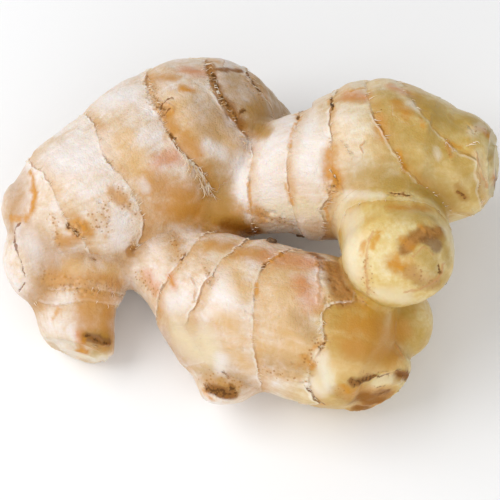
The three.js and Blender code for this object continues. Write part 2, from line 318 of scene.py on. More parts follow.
# Where rings run on the side that the camera sees: the limb, the ring and a line across the camera's picture,
# which is 500 wide and 500 high from its top left.
RING_LINES = [
    ("trunk", 0, [(42, 172), (47, 179), (52, 190), (58, 204), (66, 220), (71, 228), (80, 236), (86, 244),
                  (91, 256), (98, 270)]),
    ("trunk", 1, [(92, 120), (96, 130), (98, 140), (101, 149), (110, 166), (118, 172), (124, 180), (130, 187),
                  (134, 196), (138, 206), (142, 218), (144, 233), (139, 243), (132, 249)]),
    ("trunk", 2, [(147, 72), (145, 80), (150, 96), (156, 108), (161, 118), (165, 129), (171, 138), (176, 146),
                  (183, 153), (190, 162), (200, 168), (205, 176), (209, 188), (214, 200)]),
    ("trunk", 3, [(205, 60), (206, 69), (209, 80), (212, 91), (218, 100), (228, 112), (237, 126), (241, 132),
                  (247, 138), (252, 148)]),
    ("trunk", 4, [(244, 66), (248, 72), (252, 80), (257, 87), (262, 92), (267, 97)]),
    ("right_finger", 0, [(254, 155), (249, 165), (249, 178), (248, 190), (249, 202), (251, 214), (252, 226)]),
    ("right_finger", 1, [(299, 113), (296, 122), (292, 135), (289, 147), (286, 160), (287, 175), (289, 190),
                         (292, 203), (295, 216)]),
    ("right_finger", 2, [(334, 96), (332, 106), (330, 118), (330, 128), (332, 140), (331, 155), (331, 166),
                         (334, 176), (331, 190), (325, 204), (317, 213)]),
    ("right_finger", 3, [(366, 83), (367, 93), (370, 104), (373, 113), (378, 124), (383, 131), (387, 140),
                         (392, 150), (399, 156), (401, 166), (413, 176), (430, 191), (438, 200)]),
    ("right_finger", 4, [(400, 83), (407, 92), (412, 100), (418, 107), (425, 118), (431, 127), (438, 133),
                         (446, 140), (454, 146), (466, 149)]),
    ("left_knob", 0, [(50, 290), (58, 290), (67, 289), (81, 287), (101, 290), (115, 294)]),
    ("left_knob", 1, [(56, 303), (68, 302), (81, 302), (94, 300), (112, 302)]),
    ("front_stub", 0, [(345, 210), (360, 204), (385, 199), (410, 199), (428, 205), (440, 213)]),
    ("lower_finger", 0, [(197, 240), (189, 252), (183, 258), (176, 266), (170, 272), (163, 284), (159, 293),
                         (157, 306)]),
    ("lower_finger", 1, [(247, 240), (235, 247), (229, 255), (221, 258), (218, 265), (213, 274), (204, 284),
                         (197, 300), (191, 312), (188, 324), (176, 338)]),
    ("lower_finger", 2, [(290, 248), (280, 253), (270, 261), (262, 268), (258, 276), (255, 285), (253, 310),
                         (252, 340), (254, 355), (257, 368), (260, 378)]),
    ("lower_finger", 3, [(368, 305), (350, 303), (332, 302), (323, 308), (322, 320), (325, 336), (325, 346),
                         (316, 356), (310, 366), (309, 377), (306, 387), (312, 396), (324, 404)]),
]

# Marks on the same side. Each is a radius in millimetres and the points of a line across the picture.
MARKS = {
    # Golden: partly the skin's own translucent golden patches, partly painted shade in the folds between limbs,
    # on the undersides by the gap between the fingers and on the shaded side of the lobes.
    "golden": [
        (4, [(167, 114), (173, 132)]), (4, [(184, 138), (196, 150)]), (3, [(152, 78), (172, 78)]),
        (6, [(150, 184), (190, 196)]), (7, [(160, 208), (230, 216)]), (6, [(236, 224), (250, 230)]),
        (3, [(78, 222), (88, 232)]), (3, [(62, 242), (76, 238)]), (3.6, [(90, 277), (118, 286)]),
        (3, [(112, 192), (122, 200)]), (4, [(86, 292), (108, 294)]), (6, [(90, 300), (90, 334)]),
        (8, [(104, 300), (105, 334)]), (4, [(82, 308), (82, 330)]), (3.6, [(54, 278), (84, 282)]),
        (2.4, [(80, 344), (84, 354)]), (5, [(208, 246), (230, 246)]), (5, [(240, 252), (258, 254)]),
        (8, [(356, 326), (394, 336)]), (6, [(352, 346), (392, 352)]), (5, [(352, 392), (384, 394)]),
        (1.6, [(30, 171), (34, 178), (35, 190), (35, 200), (32, 211)]), (4, [(84, 296), (108, 296)]),
        (4, [(392, 264), (404, 268)]), (5, [(358, 406), (388, 402)]), (3.6, [(328, 152), (330, 176)]),
        (3, [(332, 172), (338, 184)]), (3, [(378, 122), (382, 136)]), (3, [(342, 98), (362, 100)]),
        (3, [(398, 104), (406, 112)]), (3, [(258, 210), (262, 220)]), (1.9, [(182, 87), (193, 91)]),
        (3, [(392, 207), (428, 209)]), (3, [(262, 238), (300, 240)]), (2, [(482, 128), (488, 136)]),
    ],
    "honey": [
        (10, [(284, 272), (288, 310), (288, 350)]), (7, [(266, 350), (304, 358)]),
        (6, [(176, 104), (190, 132)]), (5, [(214, 128), (232, 146)]), (6, [(176, 208), (236, 214)]),
        (6, [(224, 268), (244, 290)]), (4, [(228, 344), (248, 366)]), (6, [(222, 316), (242, 338)]),
        (4, [(70, 270), (112, 274)]), (7, [(336, 360), (392, 364)]), (6, [(92, 300), (106, 334)]),
        (6, [(126, 144), (140, 170)]),
    ],
    # Cream: the skin's own creamy tone, and painted light on the right finger's shaded underside by the gap
    # between the fingers.
    "cream": [
        (5, [(340, 194), (342, 216)]), (5, [(270, 206), (292, 210)]), (8, [(182, 336), (204, 358)]),
        (5, [(204, 336), (216, 366)]), (3, [(322, 354), (328, 384)]),
        (2.4, [(374, 386), (384, 379), (402, 380)]), (2.6, [(82, 356), (104, 355)]),
        (4, [(376, 294), (404, 298)]), (2.8, [(478, 156), (484, 186)]), (4, [(314, 380), (318, 392)]),
        (4, [(298, 208), (322, 212)]), (4, [(208, 246), (222, 252)]),
    ],
    # Umber: deep golden-brown. Mostly painted shade: the notch between the fingers, a thin shadow line between
    # the last two trunk rings, the front stub's shadow on the lower finger and the toe's underside; also the
    # brown of a few scars.
    "umber": [
        (3.6, [(228, 226), (254, 231)]), (1.3, [(213, 69), (228, 70), (243, 71)]),
        (3, [(230, 112), (240, 124)]), (2.2, [(209, 64), (214, 82), (222, 98), (232, 112)]),
        (5, [(360, 398), (388, 400)]), (2.6, [(356, 407), (378, 408)]), (2.6, [(378, 393), (388, 396)]),
        (2.2, [(398, 373), (408, 377)]), (4.5, [(330, 268), (344, 296)]), (2.4, [(304, 249), (320, 258)]),
        (2.2, [(404, 249), (412, 239), (424, 232), (438, 233)]), (2.2, [(212, 388), (232, 396)]),
        (1.6, [(132, 248), (129, 253)]),
    ],
    # Pale: partly the skin's dry papery white, partly painted highlights on the left-facing skin of the trunk
    # and the right finger.
    "pale": [
        (4, [(28, 238), (34, 250)]), (9, [(56, 160), (88, 150)]), (6, [(108, 100), (132, 92)]),
        (4, [(122, 216), (120, 244)]), (2.2, [(143, 183), (145, 189)]), (3, [(208, 146), (220, 152)]),
        (4, [(240, 160), (242, 196)]), (4, [(252, 140), (258, 150)]), (7, [(268, 150), (268, 190)]),
        (7, [(308, 130), (308, 168)]), (6, [(350, 222), (352, 270)]), (2.2, [(348, 196), (382, 196)]),
        (5, [(170, 302), (180, 300)]), (5, [(218, 276), (226, 300)]), (3, [(320, 356), (328, 388)]),
        (2.2, [(472, 132), (482, 126)]), (1.6, [(436, 150), (438, 156)]), (2, [(411, 104), (416, 108)]),
        (3.4, [(310, 384), (316, 392)]), (2.6, [(18, 226), (18, 244)]), (3, [(222, 358), (220, 370)]),
    ],
    # Dusk: a dull grey-brown; painted shade on the far side of the rear stub and low on the lower finger, the
    # small knob and the toe, and elsewhere the skin's own dusky tint.
    "dusk": [
        (6, [(198, 104), (212, 132)]), (5, [(268, 362), (304, 368)]), (4, [(298, 318), (312, 334)]),
        (7, [(224, 80), (238, 100)]), (7, [(244, 84), (254, 98)]), (4, [(240, 100), (252, 104)]),
        (4, [(196, 176), (204, 190)]), (5, [(214, 112), (226, 124)]), (5, [(206, 376), (236, 384)]),
        (3, [(336, 392), (350, 402)]), (4, [(176, 242), (178, 258)]), (4, [(330, 268), (344, 290)]),
    ],
    "olive": [
        (6, [(362, 172), (396, 182)]), (9, [(338, 318), (376, 328)]), (5.5, [(416, 186), (446, 204)]),
        (4, [(430, 262), (444, 284)]), (8, [(404, 166), (440, 190)]), (8, [(416, 176), (452, 196)]),
        (6, [(404, 314), (420, 346)]), (6, [(408, 132), (440, 152)]), (7, [(424, 104), (456, 128)]),
        (6, [(466, 118), (480, 128)]), (5, [(378, 92), (392, 96)]), (6, [(384, 110), (398, 140)]),
        (5, [(456, 160), (476, 190)]), (4, [(424, 256), (434, 262)]), (3, [(442, 240), (448, 262)]),
        (4, [(400, 214), (430, 218)]), (3, [(96, 352), (108, 348)]), (2.4, [(390, 390), (396, 396)]),
        (6, [(340, 346), (384, 350)]),
    ],
    # Tan: partly painted shade on the far side of the rear stub and under the trunk by the notch, partly the
    # tan of scars and crumbly patches.
    "tan": [
        (3.4, [(262, 106), (284, 111)]), (4, [(248, 124), (266, 132)]),
        (4, [(262, 84), (276, 100), (286, 108)]), (5, [(250, 112), (278, 113)]),
        (6, [(210, 172), (220, 190), (224, 208)]), (5, [(214, 214), (240, 224)]),
        (3.2, [(412, 272), (420, 283), (434, 284)]),
        (3.4, [(406, 248), (413, 239), (426, 232), (440, 234)]), (3, [(404, 374), (400, 380)]),
        (3.4, [(88, 338), (106, 338)]), (3, [(404, 244), (414, 240)]), (1.8, [(459, 186), (465, 198)]),
        (3, [(220, 384), (232, 392)]),
    ],
    "blush": [
        (6, [(276, 258), (310, 262)]), (5, [(302, 282), (312, 302)]), (4, [(186, 70), (202, 72)]),
        (3.4, [(350, 94), (364, 96)]), (3, [(392, 86), (404, 92)]), (3.6, [(158, 162), (176, 156)]),
        (2.2, [(80, 336), (82, 344)]), (2.2, [(170, 276), (174, 286)]), (2.2, [(494, 172), (496, 184)]),
        (3, [(148, 276), (156, 290)]),
    ],
    "rust": [
        (1.5, [(362, 244), (363, 254)]), (1.5, [(378, 232), (372, 248)]), (2.4, [(392, 263), (402, 267)]),
        (1.8, [(396, 254), (398, 260)]), (2.2, [(403, 240), (412, 247)]), (1.6, [(418, 226), (424, 232)]),
        (1.1, [(182, 90), (190, 90)]), (1.8, [(12, 219), (20, 218)]), (1.6, [(28, 214), (26, 220)]),
        (1.8, [(70, 228), (78, 234)]), (1.8, [(327, 156), (327, 176)]), (2.0, [(332, 172), (338, 182)]),
        (1.4, [(331, 100), (333, 108)]), (1.4, [(297, 114), (299, 120)]), (1.6, [(53, 319), (59, 310)]),
        (1.6, [(76, 351), (86, 352)]), (1.8, [(204, 390), (210, 398)]), (1.6, [(342, 386), (348, 392)]),
        (1.2, [(170, 279), (173, 285)]), (1.4, [(447, 142), (450, 156)]), (1.2, [(450, 144), (460, 147)]),
        (1.0, [(29, 171), (33, 178), (34, 190), (34, 200), (31, 211)]), (2.6, [(329, 152), (330, 178)]),
        (1.8, [(334, 176), (337, 186)]), (0.7, [(335, 192), (326, 208), (328, 220)]),
        (1.4, [(312, 350), (322, 344)]), (1.8, [(304, 356), (312, 366)]), (1.2, [(249, 184), (250, 212)]),
        (1.2, [(398, 151), (406, 171)]), (1.4, [(420, 118), (424, 126)]), (1.2, [(352, 90), (364, 88)]),
        (1.2, [(84, 336), (84, 342)]), (1.3, [(286, 185), (291, 204)]), (1.1, [(294, 124), (289, 146)]),
        (1.3, [(264, 265), (280, 254)]), (1.4, [(255, 284), (256, 292)]),
    ],
    "speckle": [
        (5, [(330, 266), (346, 298)]), (2.4, [(330, 299), (362, 300)]),
        (3.2, [(54, 284), (80, 286), (110, 288)]), (2.6, [(104, 198), (106, 234)]),
        (2.2, [(92, 213), (98, 226)]), (2.4, [(366, 262), (368, 292)]), (2.6, [(120, 192), (134, 214)]),
        (3, [(262, 214), (290, 224)]), (3, [(174, 240), (180, 262)]), (4, [(206, 380), (236, 386)]),
        (2, [(209, 64), (214, 82), (222, 98), (234, 118)]), (3, [(246, 78), (262, 98)]),
        (2.6, [(268, 372), (300, 380)]), (2.6, [(46, 278), (60, 282)]), (2.4, [(338, 388), (346, 398)]),
        (3, [(148, 80), (156, 104)]), (3.4, [(300, 366), (322, 342)]), (3.4, [(412, 272), (434, 282)]),
        (2.6, [(405, 248), (412, 239), (424, 232), (438, 233)]), (1.8, [(360, 374), (376, 375)]),
        (2.6, [(372, 390), (390, 396)]), (2, [(446, 142), (452, 156)]), (2, [(390, 194), (410, 196)]),
        (2, [(470, 130), (484, 128)]), (2, [(52, 216), (60, 244)]), (2.4, [(206, 270), (214, 282)]),
        (2.2, [(132, 244), (128, 254)]), (3, [(140, 276), (156, 292)]), (1.6, [(76, 302), (82, 303)]),
    ],
    "bruise": [
        (2.9, [(430, 241), (437, 246)]), (1.8, [(424, 239), (430, 241)]), (2.4, [(354, 383), (368, 379)]),
        (1.6, [(400, 373), (407, 376)]), (2, [(86, 338), (98, 339), (108, 342)]),
        (2.6, [(212, 390), (226, 392)]), (2, [(378, 393), (386, 392)]), (1.6, [(496, 172), (495, 186)]),
    ],
    "scar": [
        (0.8, [(438, 266), (439, 273)]), (2.2, [(354, 383), (368, 379)]), (1, [(370, 378), (378, 376)]),
        (0.9, [(402, 375), (408, 377)]), (1.2, [(380, 394), (387, 391)]),
        (0.9, [(84, 336), (96, 340), (106, 343)]), (2.3, [(208, 389), (220, 392), (227, 394)]),
        (1.2, [(230, 384), (236, 395)]), (1.2, [(225, 372), (228, 376)]), (0.8, [(159, 107), (165, 109)]),
        (0.7, [(332, 98), (333, 109)]), (0.8, [(298, 116), (299, 119)]), (0.7, [(459, 190), (465, 198)]),
        (1.2, [(213, 76), (218, 92)]), (1.2, [(222, 98), (230, 109)]), (0.8, [(234, 114), (240, 124)]),
        (0.9, [(240, 112), (244, 110)]), (1.2, [(248, 74), (254, 84), (260, 91)]),
        (1.0, [(74, 231), (77, 235)]), (0.8, [(69, 223), (70, 228)]), (0.6, [(334, 176), (338, 184)]),
        (0.8, [(171, 135), (175, 139)]), (1.0, [(291, 246), (301, 249)]), (0.7, [(392, 193), (409, 196)]),
        (0.7, [(181, 259), (184, 255)]), (0.7, [(321, 348), (325, 343)]), (0.8, [(262, 268), (268, 262)]),
        (0.7, [(92, 257), (95, 259)]),
    ],
    "crack": [
        (0.45, [(19, 222), (15, 232), (14, 241), (18, 251), (20, 260), (22, 270), (25, 278), (24, 284),
                (19, 291)]), (0.35, [(160, 106), (166, 101), (174, 98)]), (0.4, [(161, 117), (170, 108)]),
        (0.4, [(376, 378), (386, 374), (396, 371), (408, 377)]),
        (0.4, [(246, 234), (258, 231), (276, 234)]), (0.35, [(372, 388), (386, 386)]),
        (0.5, [(306, 386), (312, 396), (324, 404)]),
    ],
    "seam": [
        (0.8, [(372, 232), (367, 246), (366, 262), (367, 280), (368, 296)]),
        (0.8, [(316, 256), (318, 276), (318, 302)]), (0.6, [(192, 278), (195, 290), (193, 302)]),
        (0.7, [(404, 292), (420, 290), (438, 280), (444, 264)]),
        (0.6, [(412, 256), (424, 248), (436, 256)]), (0.6, [(162, 117), (170, 108)]),
        (0.6, [(362, 152), (360, 146), (364, 142)]), (0.6, [(476, 152), (480, 168), (487, 188)]),
        (0.7, [(396, 320), (394, 340), (402, 356)]), (0.6, [(84, 352), (94, 349), (110, 344)]),
    ],
}

# Torn skin that hangs in fibres: how many, their length in millimetres, the way they hang and the line that
# they hang from, both across the camera's picture. The remnants of old roots are given in the same way.
CURTAINS = [
    (34, 3.6, (0.3, 1), [(184, 154), (190, 163), (200, 168), (206, 180), (212, 194)]),
    (10, 2.8, (0.4, 1), [(186, 168), (198, 176), (204, 190)]), (12, 1.8, (0.3, 1), [(172, 138), (184, 156)]),
    (14, 1.8, (-0.8, 1), [(322, 312), (320, 322), (325, 340)]),
    (7, 1.0, (0.6, -1), [(397, 152), (402, 172)]), (10, 1.6, (0.2, 1), [(446, 142), (455, 150)]),
    (8, 1.5, (1, 0.3), [(340, 140), (349, 154)]), (14, 1.2, (1, 0.5), [(148, 78), (152, 92), (158, 104)]),
    (16, 1.3, (1, 0.2), [(208, 64), (214, 86), (222, 106)]), (6, 1.4, (1, 0.6), [(466, 146), (478, 140)]),
    (5, 0.8, (0.4, 1), [(328, 168), (336, 176)]),
    (7, 1.4, (1, 0.4), [(66, 222), (76, 234)]), (8, 1.2, (0.5, 1), [(290, 246), (302, 250)]),
    (6, 1.2, (0.2, 1), [(266, 238), (276, 240)]), (6, 1.4, (0.4, 1), [(446, 280), (450, 286)]),
    (6, 1.0, (0.3, 1), [(136, 240), (128, 252)]), (8, 1.2, (1, 0.7), [(238, 134), (252, 156)]),
]

REMNANTS = [
    (6, 2.4, (1, 0.4), [(289, 245), (300, 249)]), (3, 1.4, (1, 0.6), [(270, 237), (275, 239)]),
    (3, 1.6, (0.6, 0.8), [(320, 244), (324, 247)]), (4, 1.6, (1, 0.3), [(446, 282), (449, 286)]),
    (3, 1.4, (0.8, 0.6), [(267, 231), (272, 233)]),
    (3, 1.0, (0.4, 1), [(331, 103), (332, 107)]), (3, 1.2, (0.7, 0.7), [(210, 70), (214, 84)]),
    (2, 1.0, (0.7, 0.7), [(244, 66), (248, 76)]),
]

CAMERA = np.array([0.0, -3.9, 480.0])  # in the growth frame
PICTURE_WIDTH = 130.0  # what the camera takes in across the growth frame's plane, in millimetres
PICTURE = 500  # the size of the camera's picture, across and down
SENSOR = 36.0  # a full-frame sensor's width, in millimetres


# ---- Reading the skin -----------------------------------------------------------------------------------

class Survey:
    """What there is to know of points of the skin, from the limb that each belongs to."""

    def __init__(self, points):
        found = [self.measure(limb, points) for limb in LIMBS.values()]
        gaps = np.array([each["gap"] for each in found])
        owner = gaps.argmin(0)
        for name in found[0]:
            values = np.array([each[name] for each in found])
            setattr(self, name, values[owner, np.arange(len(points))])
        others = np.where(np.arange(len(gaps))[:, None] == owner, 99, gaps)
        self.to_other = others.min(0)
        fillets = np.array([limb.fillet for limb in LIMBS.values()])
        fillet = fillets[np.argsort(gaps, axis=0)[:2]].max(0)
        soft = -fillet * np.log(np.exp(-np.clip(gaps, -2, 40) / fillet).sum(0))
        self.fillet = np.clip(self.gap, -2, 40) - soft

    @staticmethod
    def measure(limb, points):
        distance, angle, reach = limb.locate(points)
        runs = limb.runs(angle)
        bare = limb.reach(distance, runs)
        step = 0.25
        ahead, behind = (limb.reach(distance + way * step, runs) for way in (1, -1))
        height = reach - bare
        past = distance - runs
        turn = 0.05
        slants = (limb.runs(angle + turn) - limb.runs(angle - turn)) / (2 * turn) / np.maximum(bare, 4)
        square = past / np.sqrt(1 + slants**2)
        rings = np.abs(square[1:-1])
        if len(rings):
            nearest = rings.argmin(0)
            to_ring = np.take_along_axis(square[1:-1], nearest[None], 0)[0]
            bold = np.array([ring[3] for ring in limb.rings])[nearest]
        else:
            to_ring, bold = np.full(len(points), 99.0), np.zeros(len(points))
        index = np.clip((past[1:-1] >= 0).sum(0), 0, len(runs) - 2)
        before, after = (np.take_along_axis(runs, (index + k)[None], 0)[0] for k in (0, 1))
        before = np.where(index == 0, before - (after - before), before)
        packed = distance - limb.runs(angle, packed=True)
        solid_lips = sum((lip_height(p, *SOLID_LIP) for p in packed[1:-1]), np.zeros(len(points)))
        cut = np.full(len(points), -99.0)
        if limb.cut:
            place, facing = limb.cut
            cut = (points - place) @ unit(np.array(facing, float))
        return {
            "height": height,
            "steepness": np.sqrt(1 + ((ahead - behind) / (2 * step)) ** 2),
            "gap": np.maximum(height, cut),
            "cut": cut,
            "to_ring": to_ring,
            "bold": bold,
            "between": np.where(after > before, (distance - before) / (after - before), 0.5),
            "space": after - before,
            "solid_lips": solid_lips,
            "young": smoothstep(*limb.young, distance),
            "flesh": np.full(len(points), limb.flesh),
            "along": distance,
            "round_x": bare * np.cos(angle),
            "round_y": bare * np.sin(angle),
        }


def read(layer, name, width, kind=np.float32):
    """One property of every item in a layer of a mesh, as rows this wide."""
    flat = np.empty(len(layer) * width, kind)
    layer.foreach_get(name, flat)
    return flat.reshape(-1, width)


def vertices_of(piece):
    return read(piece.data.vertices, "co", 3).astype(float)


def normals_of(piece):
    return read(piece.data.vertex_normals, "vector", 3).astype(float)


def move_vertices(piece, places):
    piece.data.vertices.foreach_set("co", places.astype(np.float32).ravel())
    piece.data.update()


def spread(piece, values, rounds):
    """Values at the vertices, each shared out among its neighbours a number of times."""
    ends = read(piece.data.edges, "vertices", 2, np.int32)
    count = len(values)
    degree = np.bincount(ends.ravel(), minlength=count)
    for _ in range(rounds):
        total = (np.bincount(ends[:, 0], values[ends[:, 1]], count)
                 + np.bincount(ends[:, 1], values[ends[:, 0]], count))
        values = (values + total / degree) / 2
    return values


def store(piece, name, values):
    attribute = piece.data.attributes.get(name) or piece.data.attributes.new(name, "FLOAT", "POINT")
    attribute.data.foreach_set("value", values.astype(np.float32))


def stored(piece, name):
    return read(piece.data.attributes[name].data, "value", 1)[:, 0].astype(float)


def spots_on_limbs(places):
    """The points of the skin for (limb, distance, degrees), and the ways out there, in the growth frame."""
    found = [LIMBS[limb].skin(np.array([at], float), np.radians([degrees])) for limb, at, degrees in places]
    return np.array([point[0] for point, _ in found]), np.array([outward[0] for _, outward in found])


def nearness(points, spots):
    """The distance of each point from the nearest of a few."""
    return np.sqrt(((points[:, None] - spots[None]) ** 2).sum(-1)).min(1)


def nearness_to_line(points, line):
    """The distance of each point from a line of straight pieces."""
    away = np.full(len(points), np.inf)
    for start, end in zip(line, line[1:]):
        along = end - start
        share = np.clip((points - start) @ along / max(along @ along, 1e-9), 0, 1)
        away = np.minimum(away, np.linalg.norm(points - start - share[:, None] * along, axis=1))
    return away


def tree_of(piece):
    return BVHTree.FromObject(piece, bpy.context.evaluated_depsgraph_get())


def seen(tree, x, y):
    """Where the camera sees a place of its picture on the skin, and the way out of the skin there."""
    camera = to_row(CAMERA)
    flat = np.array([x - PICTURE / 2, PICTURE / 2 - y, 0]) * PICTURE_WIDTH / PICTURE
    aim = to_row(flat + [0, CAMERA[1], 0])
    hit, normal, *_ = tree.ray_cast(Vector(camera), Vector(aim - camera).normalized())
    return hit, normal


def laid(tree, line, shares):
    """Points of the skin under a line across the camera's picture, in the growth frame."""
    hits = [
        seen(tree, x0 + (x1 - x0) * share, y0 + (y1 - y0) * share)[0]
        for (x0, y0), (x1, y1) in zip(line, line[1:])
        for share in shares
    ]
    return np.array([to_growth(np.array(hit)) for hit in hits if hit])


def draw_rings(tree):
    for limb, i, line in RING_LINES:
        LIMBS[limb].draw(i, laid(tree, line, (0, 0.25, 0.5, 0.75)))


FARTHEST_STRAY = 0.8  # in millimetres


def stray(points):
    """How far the marks wander from the lines that they are given by."""
    return np.stack([
        0.6 * rough(points, 2.4, seed) + 0.25 * rough(points, 0.9, seed)
        for seed in (51, 57, 63)
    ], -1)


def strength_of(kind, points, tree):
    """How strongly a kind of mark shows at each point, from 0 at its radius to 1 on its line."""
    strength = np.zeros(len(points))
    for radius, line in MARKS[kind]:
        hits = laid(tree, line, (0, 0.25, 0.5, 0.75, 1))
        if len(hits) > 1:
            reach = radius + FARTHEST_STRAY
            close = np.all((points > hits.min(0) - reach) & (points < hits.max(0) + reach), axis=1)
            spots = points[close]
            shown = 1 - nearness_to_line(spots + stray(spots), hits) / radius
            strength[close] = np.maximum(strength[close], shown)
    return strength


# ---- Modelling the skin ---------------------------------------------------------------------------------

GRID = 1.0  # the mesh's spacing on smooth skin
# How near a ring or an eye the spacing is halved, and then halved again, and in which marks.
FINER = [
    (1.7, ("scar", "crack", "seam", "rust", "speckle")),
    (0.75, ("scar", "crack", "seam")),
]
MOST_TRIANGLES = 190000
MOST_MOVED = 1.6  # how far a vertex moves at once
LUMPIEST = 0.6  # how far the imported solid's lumps stand off its limbs
ROOT_CLEAR = 1.5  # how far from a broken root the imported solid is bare
RIM_ROUNDING = 0.8  # how much the edge of a cut has worn down
SHARING, JOINING, FOLDING = 80, 30, 50  # how often lumps and age, joins, and folds are shared out


def select_only(piece):
    bpy.ops.object.select_all(action="DESELECT")
    piece.select_set(True)
    bpy.context.view_layer.objects.active = piece


def apply_modifier(piece, kind, **settings):
    select_only(piece)
    modifier = piece.modifiers.new(kind.title(), kind)
    for name, value in settings.items():
        setattr(modifier, name, value)
    bpy.ops.object.modifier_apply(modifier=modifier.name)


def keep_in_box(piece):
    """Keeps a piece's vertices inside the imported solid's box."""
    move_vertices(piece, np.clip(vertices_of(piece), *np.array(cad_box)))


def new_piece(name, mesh):
    piece = bpy.data.objects.new(name, mesh)
    bpy.context.scene.collection.objects.link(piece)
    return piece


def halve_spacing(piece, wanted):
    """Splits each face that has a wanted vertex into four."""
    shape = bmesh.new()
    shape.from_mesh(piece.data)
    edges = {e for f in shape.faces if any(wanted[v.index] for v in f.verts) for e in f.edges}
    bmesh.ops.subdivide_edges(shape, edges=list(edges), cuts=1, use_grid_fill=True)
    bmesh.ops.triangulate(shape, faces=[f for f in shape.faces if len(f.verts) > 4])
    shape.to_mesh(piece.data)
    shape.free()


def raggedness(points):
    """How far the torn edge of a ring scar strays from the ring, in millimetres."""
    return 0.5 * rough(points, 2.6, 11) + 0.3 * rough(points, 1.1, 5)


def wear(points):
    """How much of a ring scar's lip is left, from 0 where it is worn away to 1."""
    return smoothstep(-0.3, 0.45, rough(points, 12, 31) + 0.6 * rough(points, 3, 3))


def fine_relief(points, survey, eyes, tree):
    """How far the finished skin stands off the bare limb, in millimetres."""
    grain = np.stack([survey.along, survey.round_x, survey.round_y], -1)
    close = np.exp(-np.abs(survey.to_ring) / 2.5)
    lips = lip_height(survey.to_ring + raggedness(points), *FINE_LIP) * survey.bold
    lips *= 0.3 + 0.8 * wear(points)
    lumps = 0.42 * rough(points, 8, 2) + 0.2 * rough(points, 3.6, 9) + 0.07 * rough(points, 1.6, 19)
    for x, y, size, height in SWELLINGS:
        lumps += height * np.exp(-((points[:, 0] - x) ** 2 + (points[:, 1] - y) ** 2) / size**2)
    hoops = 0.08 * rough(grain / [1.4, 9, 9], 1, 4) + 0.04 * rough(grain / [0.7, 5, 5], 1, 8)
    wrinkles = 0.2 * close * rough(grain / [5, 1.3, 1.3], 1, 6)
    from_eye = nearness(points, eyes) + 0.9 * rough(points, 2.2, 21)
    eye = 0.6 * EYE_HEIGHT * np.clip(1 - (from_eye / EYE_RADIUS) ** 2, 0, 1)
    torn = 0.4 * smoothstep(EYE_RADIUS * 1.1, EYE_RADIUS * 0.6, from_eye) * rough(points, 0.9, 25)
    torn -= 0.4 * np.exp(-((from_eye - EYE_RADIUS * 0.45) / 0.35) ** 2)
    crumbs, pits = rough(points, 0.8, 27), rough(points, 1.3, 33)
    scar, rust, speckle, crack = (
        smoothstep(0.05, 0.5, strength_of(kind, points, tree))
        for kind in ("scar", "rust", "speckle", "crack")
    )
    seam = smoothstep(0.1, 0.9, strength_of("seam", points, tree))
    healed = scar * (0.3 * crumbs + 0.25 * pits - 0.12) + rust * 0.2 * pits
    pocks = -0.4 * speckle * smoothstep(0.22, 0.5, pits) + 0.2 * speckle * smoothstep(0.3, 0.5, crumbs)
    return lips + lumps + hoops + wrinkles + eye + torn + healed + pocks - 0.2 * crack + 0.3 * seam


def even_skin():
    """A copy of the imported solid, made into one even mesh."""
    skin = new_piece("ginger_skin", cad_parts["rhizome"].data.copy())
    skin.data.materials.clear()
    select_only(skin)
    bpy.ops.object.mode_set(mode="EDIT")
    bpy.ops.mesh.select_all(action="SELECT")
    bpy.ops.mesh.remove_doubles(threshold=1e-6)
    bpy.ops.object.mode_set(mode="OBJECT")
    apply_modifier(skin, "REMESH", mode="VOXEL", voxel_size=GRID * MM)
    return skin


def keep_lumpiness(skin, eyes, roots):
    """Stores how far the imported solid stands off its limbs. That is read where its skin is bare, not at eyes,
    roots, cuts, joins or the table, and shared out from there."""
    points = to_growth(vertices_of(skin))
    survey = Survey(points)
    lumpiness = survey.height - survey.solid_lips
    small = np.minimum(nearness(points, eyes) - EYE_RADIUS, nearness(points, roots) - ROOT_CLEAR)
    bare = (np.abs(lumpiness) < 0.9) & (small > 0.4) & (survey.cut < -0.6)
    bare &= (vertices_of(skin)[:, 2] > 0.2 * MM) & (survey.fillet < 0.35)
    share = spread(skin, bare.astype(float), SHARING) + 1e-6
    lumpiness = spread(skin, np.where(bare, lumpiness, 0), SHARING) / share
    store(skin, "lumpiness", np.clip(lumpiness, -LUMPIEST, LUMPIEST))


def refine(skin, eyes):
    """Makes the mesh finer at rings, eyes and the marks that stand proud of the skin."""
    for band, kinds in FINER:
        points = to_growth(vertices_of(skin))
        near = np.abs(Survey(points).to_ring) < band
        near |= nearness(points, eyes) < EYE_RADIUS + band
        tree = tree_of(skin)
        for kind in kinds:
            near |= strength_of(kind, points, tree) > 0
        halve_spacing(skin, near)


def work_over(skin, eyes):
    """Moves the mesh to where the finished skin stands, hollows the cut ends and smooths the joins."""
    points = to_growth(vertices_of(skin))
    survey = Survey(points)
    target = stored(skin, "lumpiness") + survey.fillet + fine_relief(points, survey, eyes, tree_of(skin))
    rise = (target - survey.height) / survey.steepness
    on_cut = smoothstep(-0.9, -0.3, survey.cut)
    dish = 0.1 * np.clip(-survey.height, 0, 6)
    hollow = 0.25 * rough(points, 5, 14) + 0.08 * rough(points, 1.2, 15) - survey.cut - 0.15 - dish
    from_rim = np.maximum(np.abs(survey.cut), np.abs(survey.height))
    rise = rise * (1 - on_cut) + hollow * on_cut - RIM_ROUNDING * np.exp(-((from_rim / 1.2) ** 2))
    outward = normals_of(skin) @ RESTING
    places = to_row(points + outward * np.clip(rise, -MOST_MOVED, MOST_MOVED)[:, None])
    eased = np.stack([spread(skin, column, JOINING) for column in places.T], -1)
    joined = smoothstep(0.12, 0.5, survey.fillet)[:, None]
    move_vertices(skin, places + (eased - places) * joined)
    keep_in_box(skin)


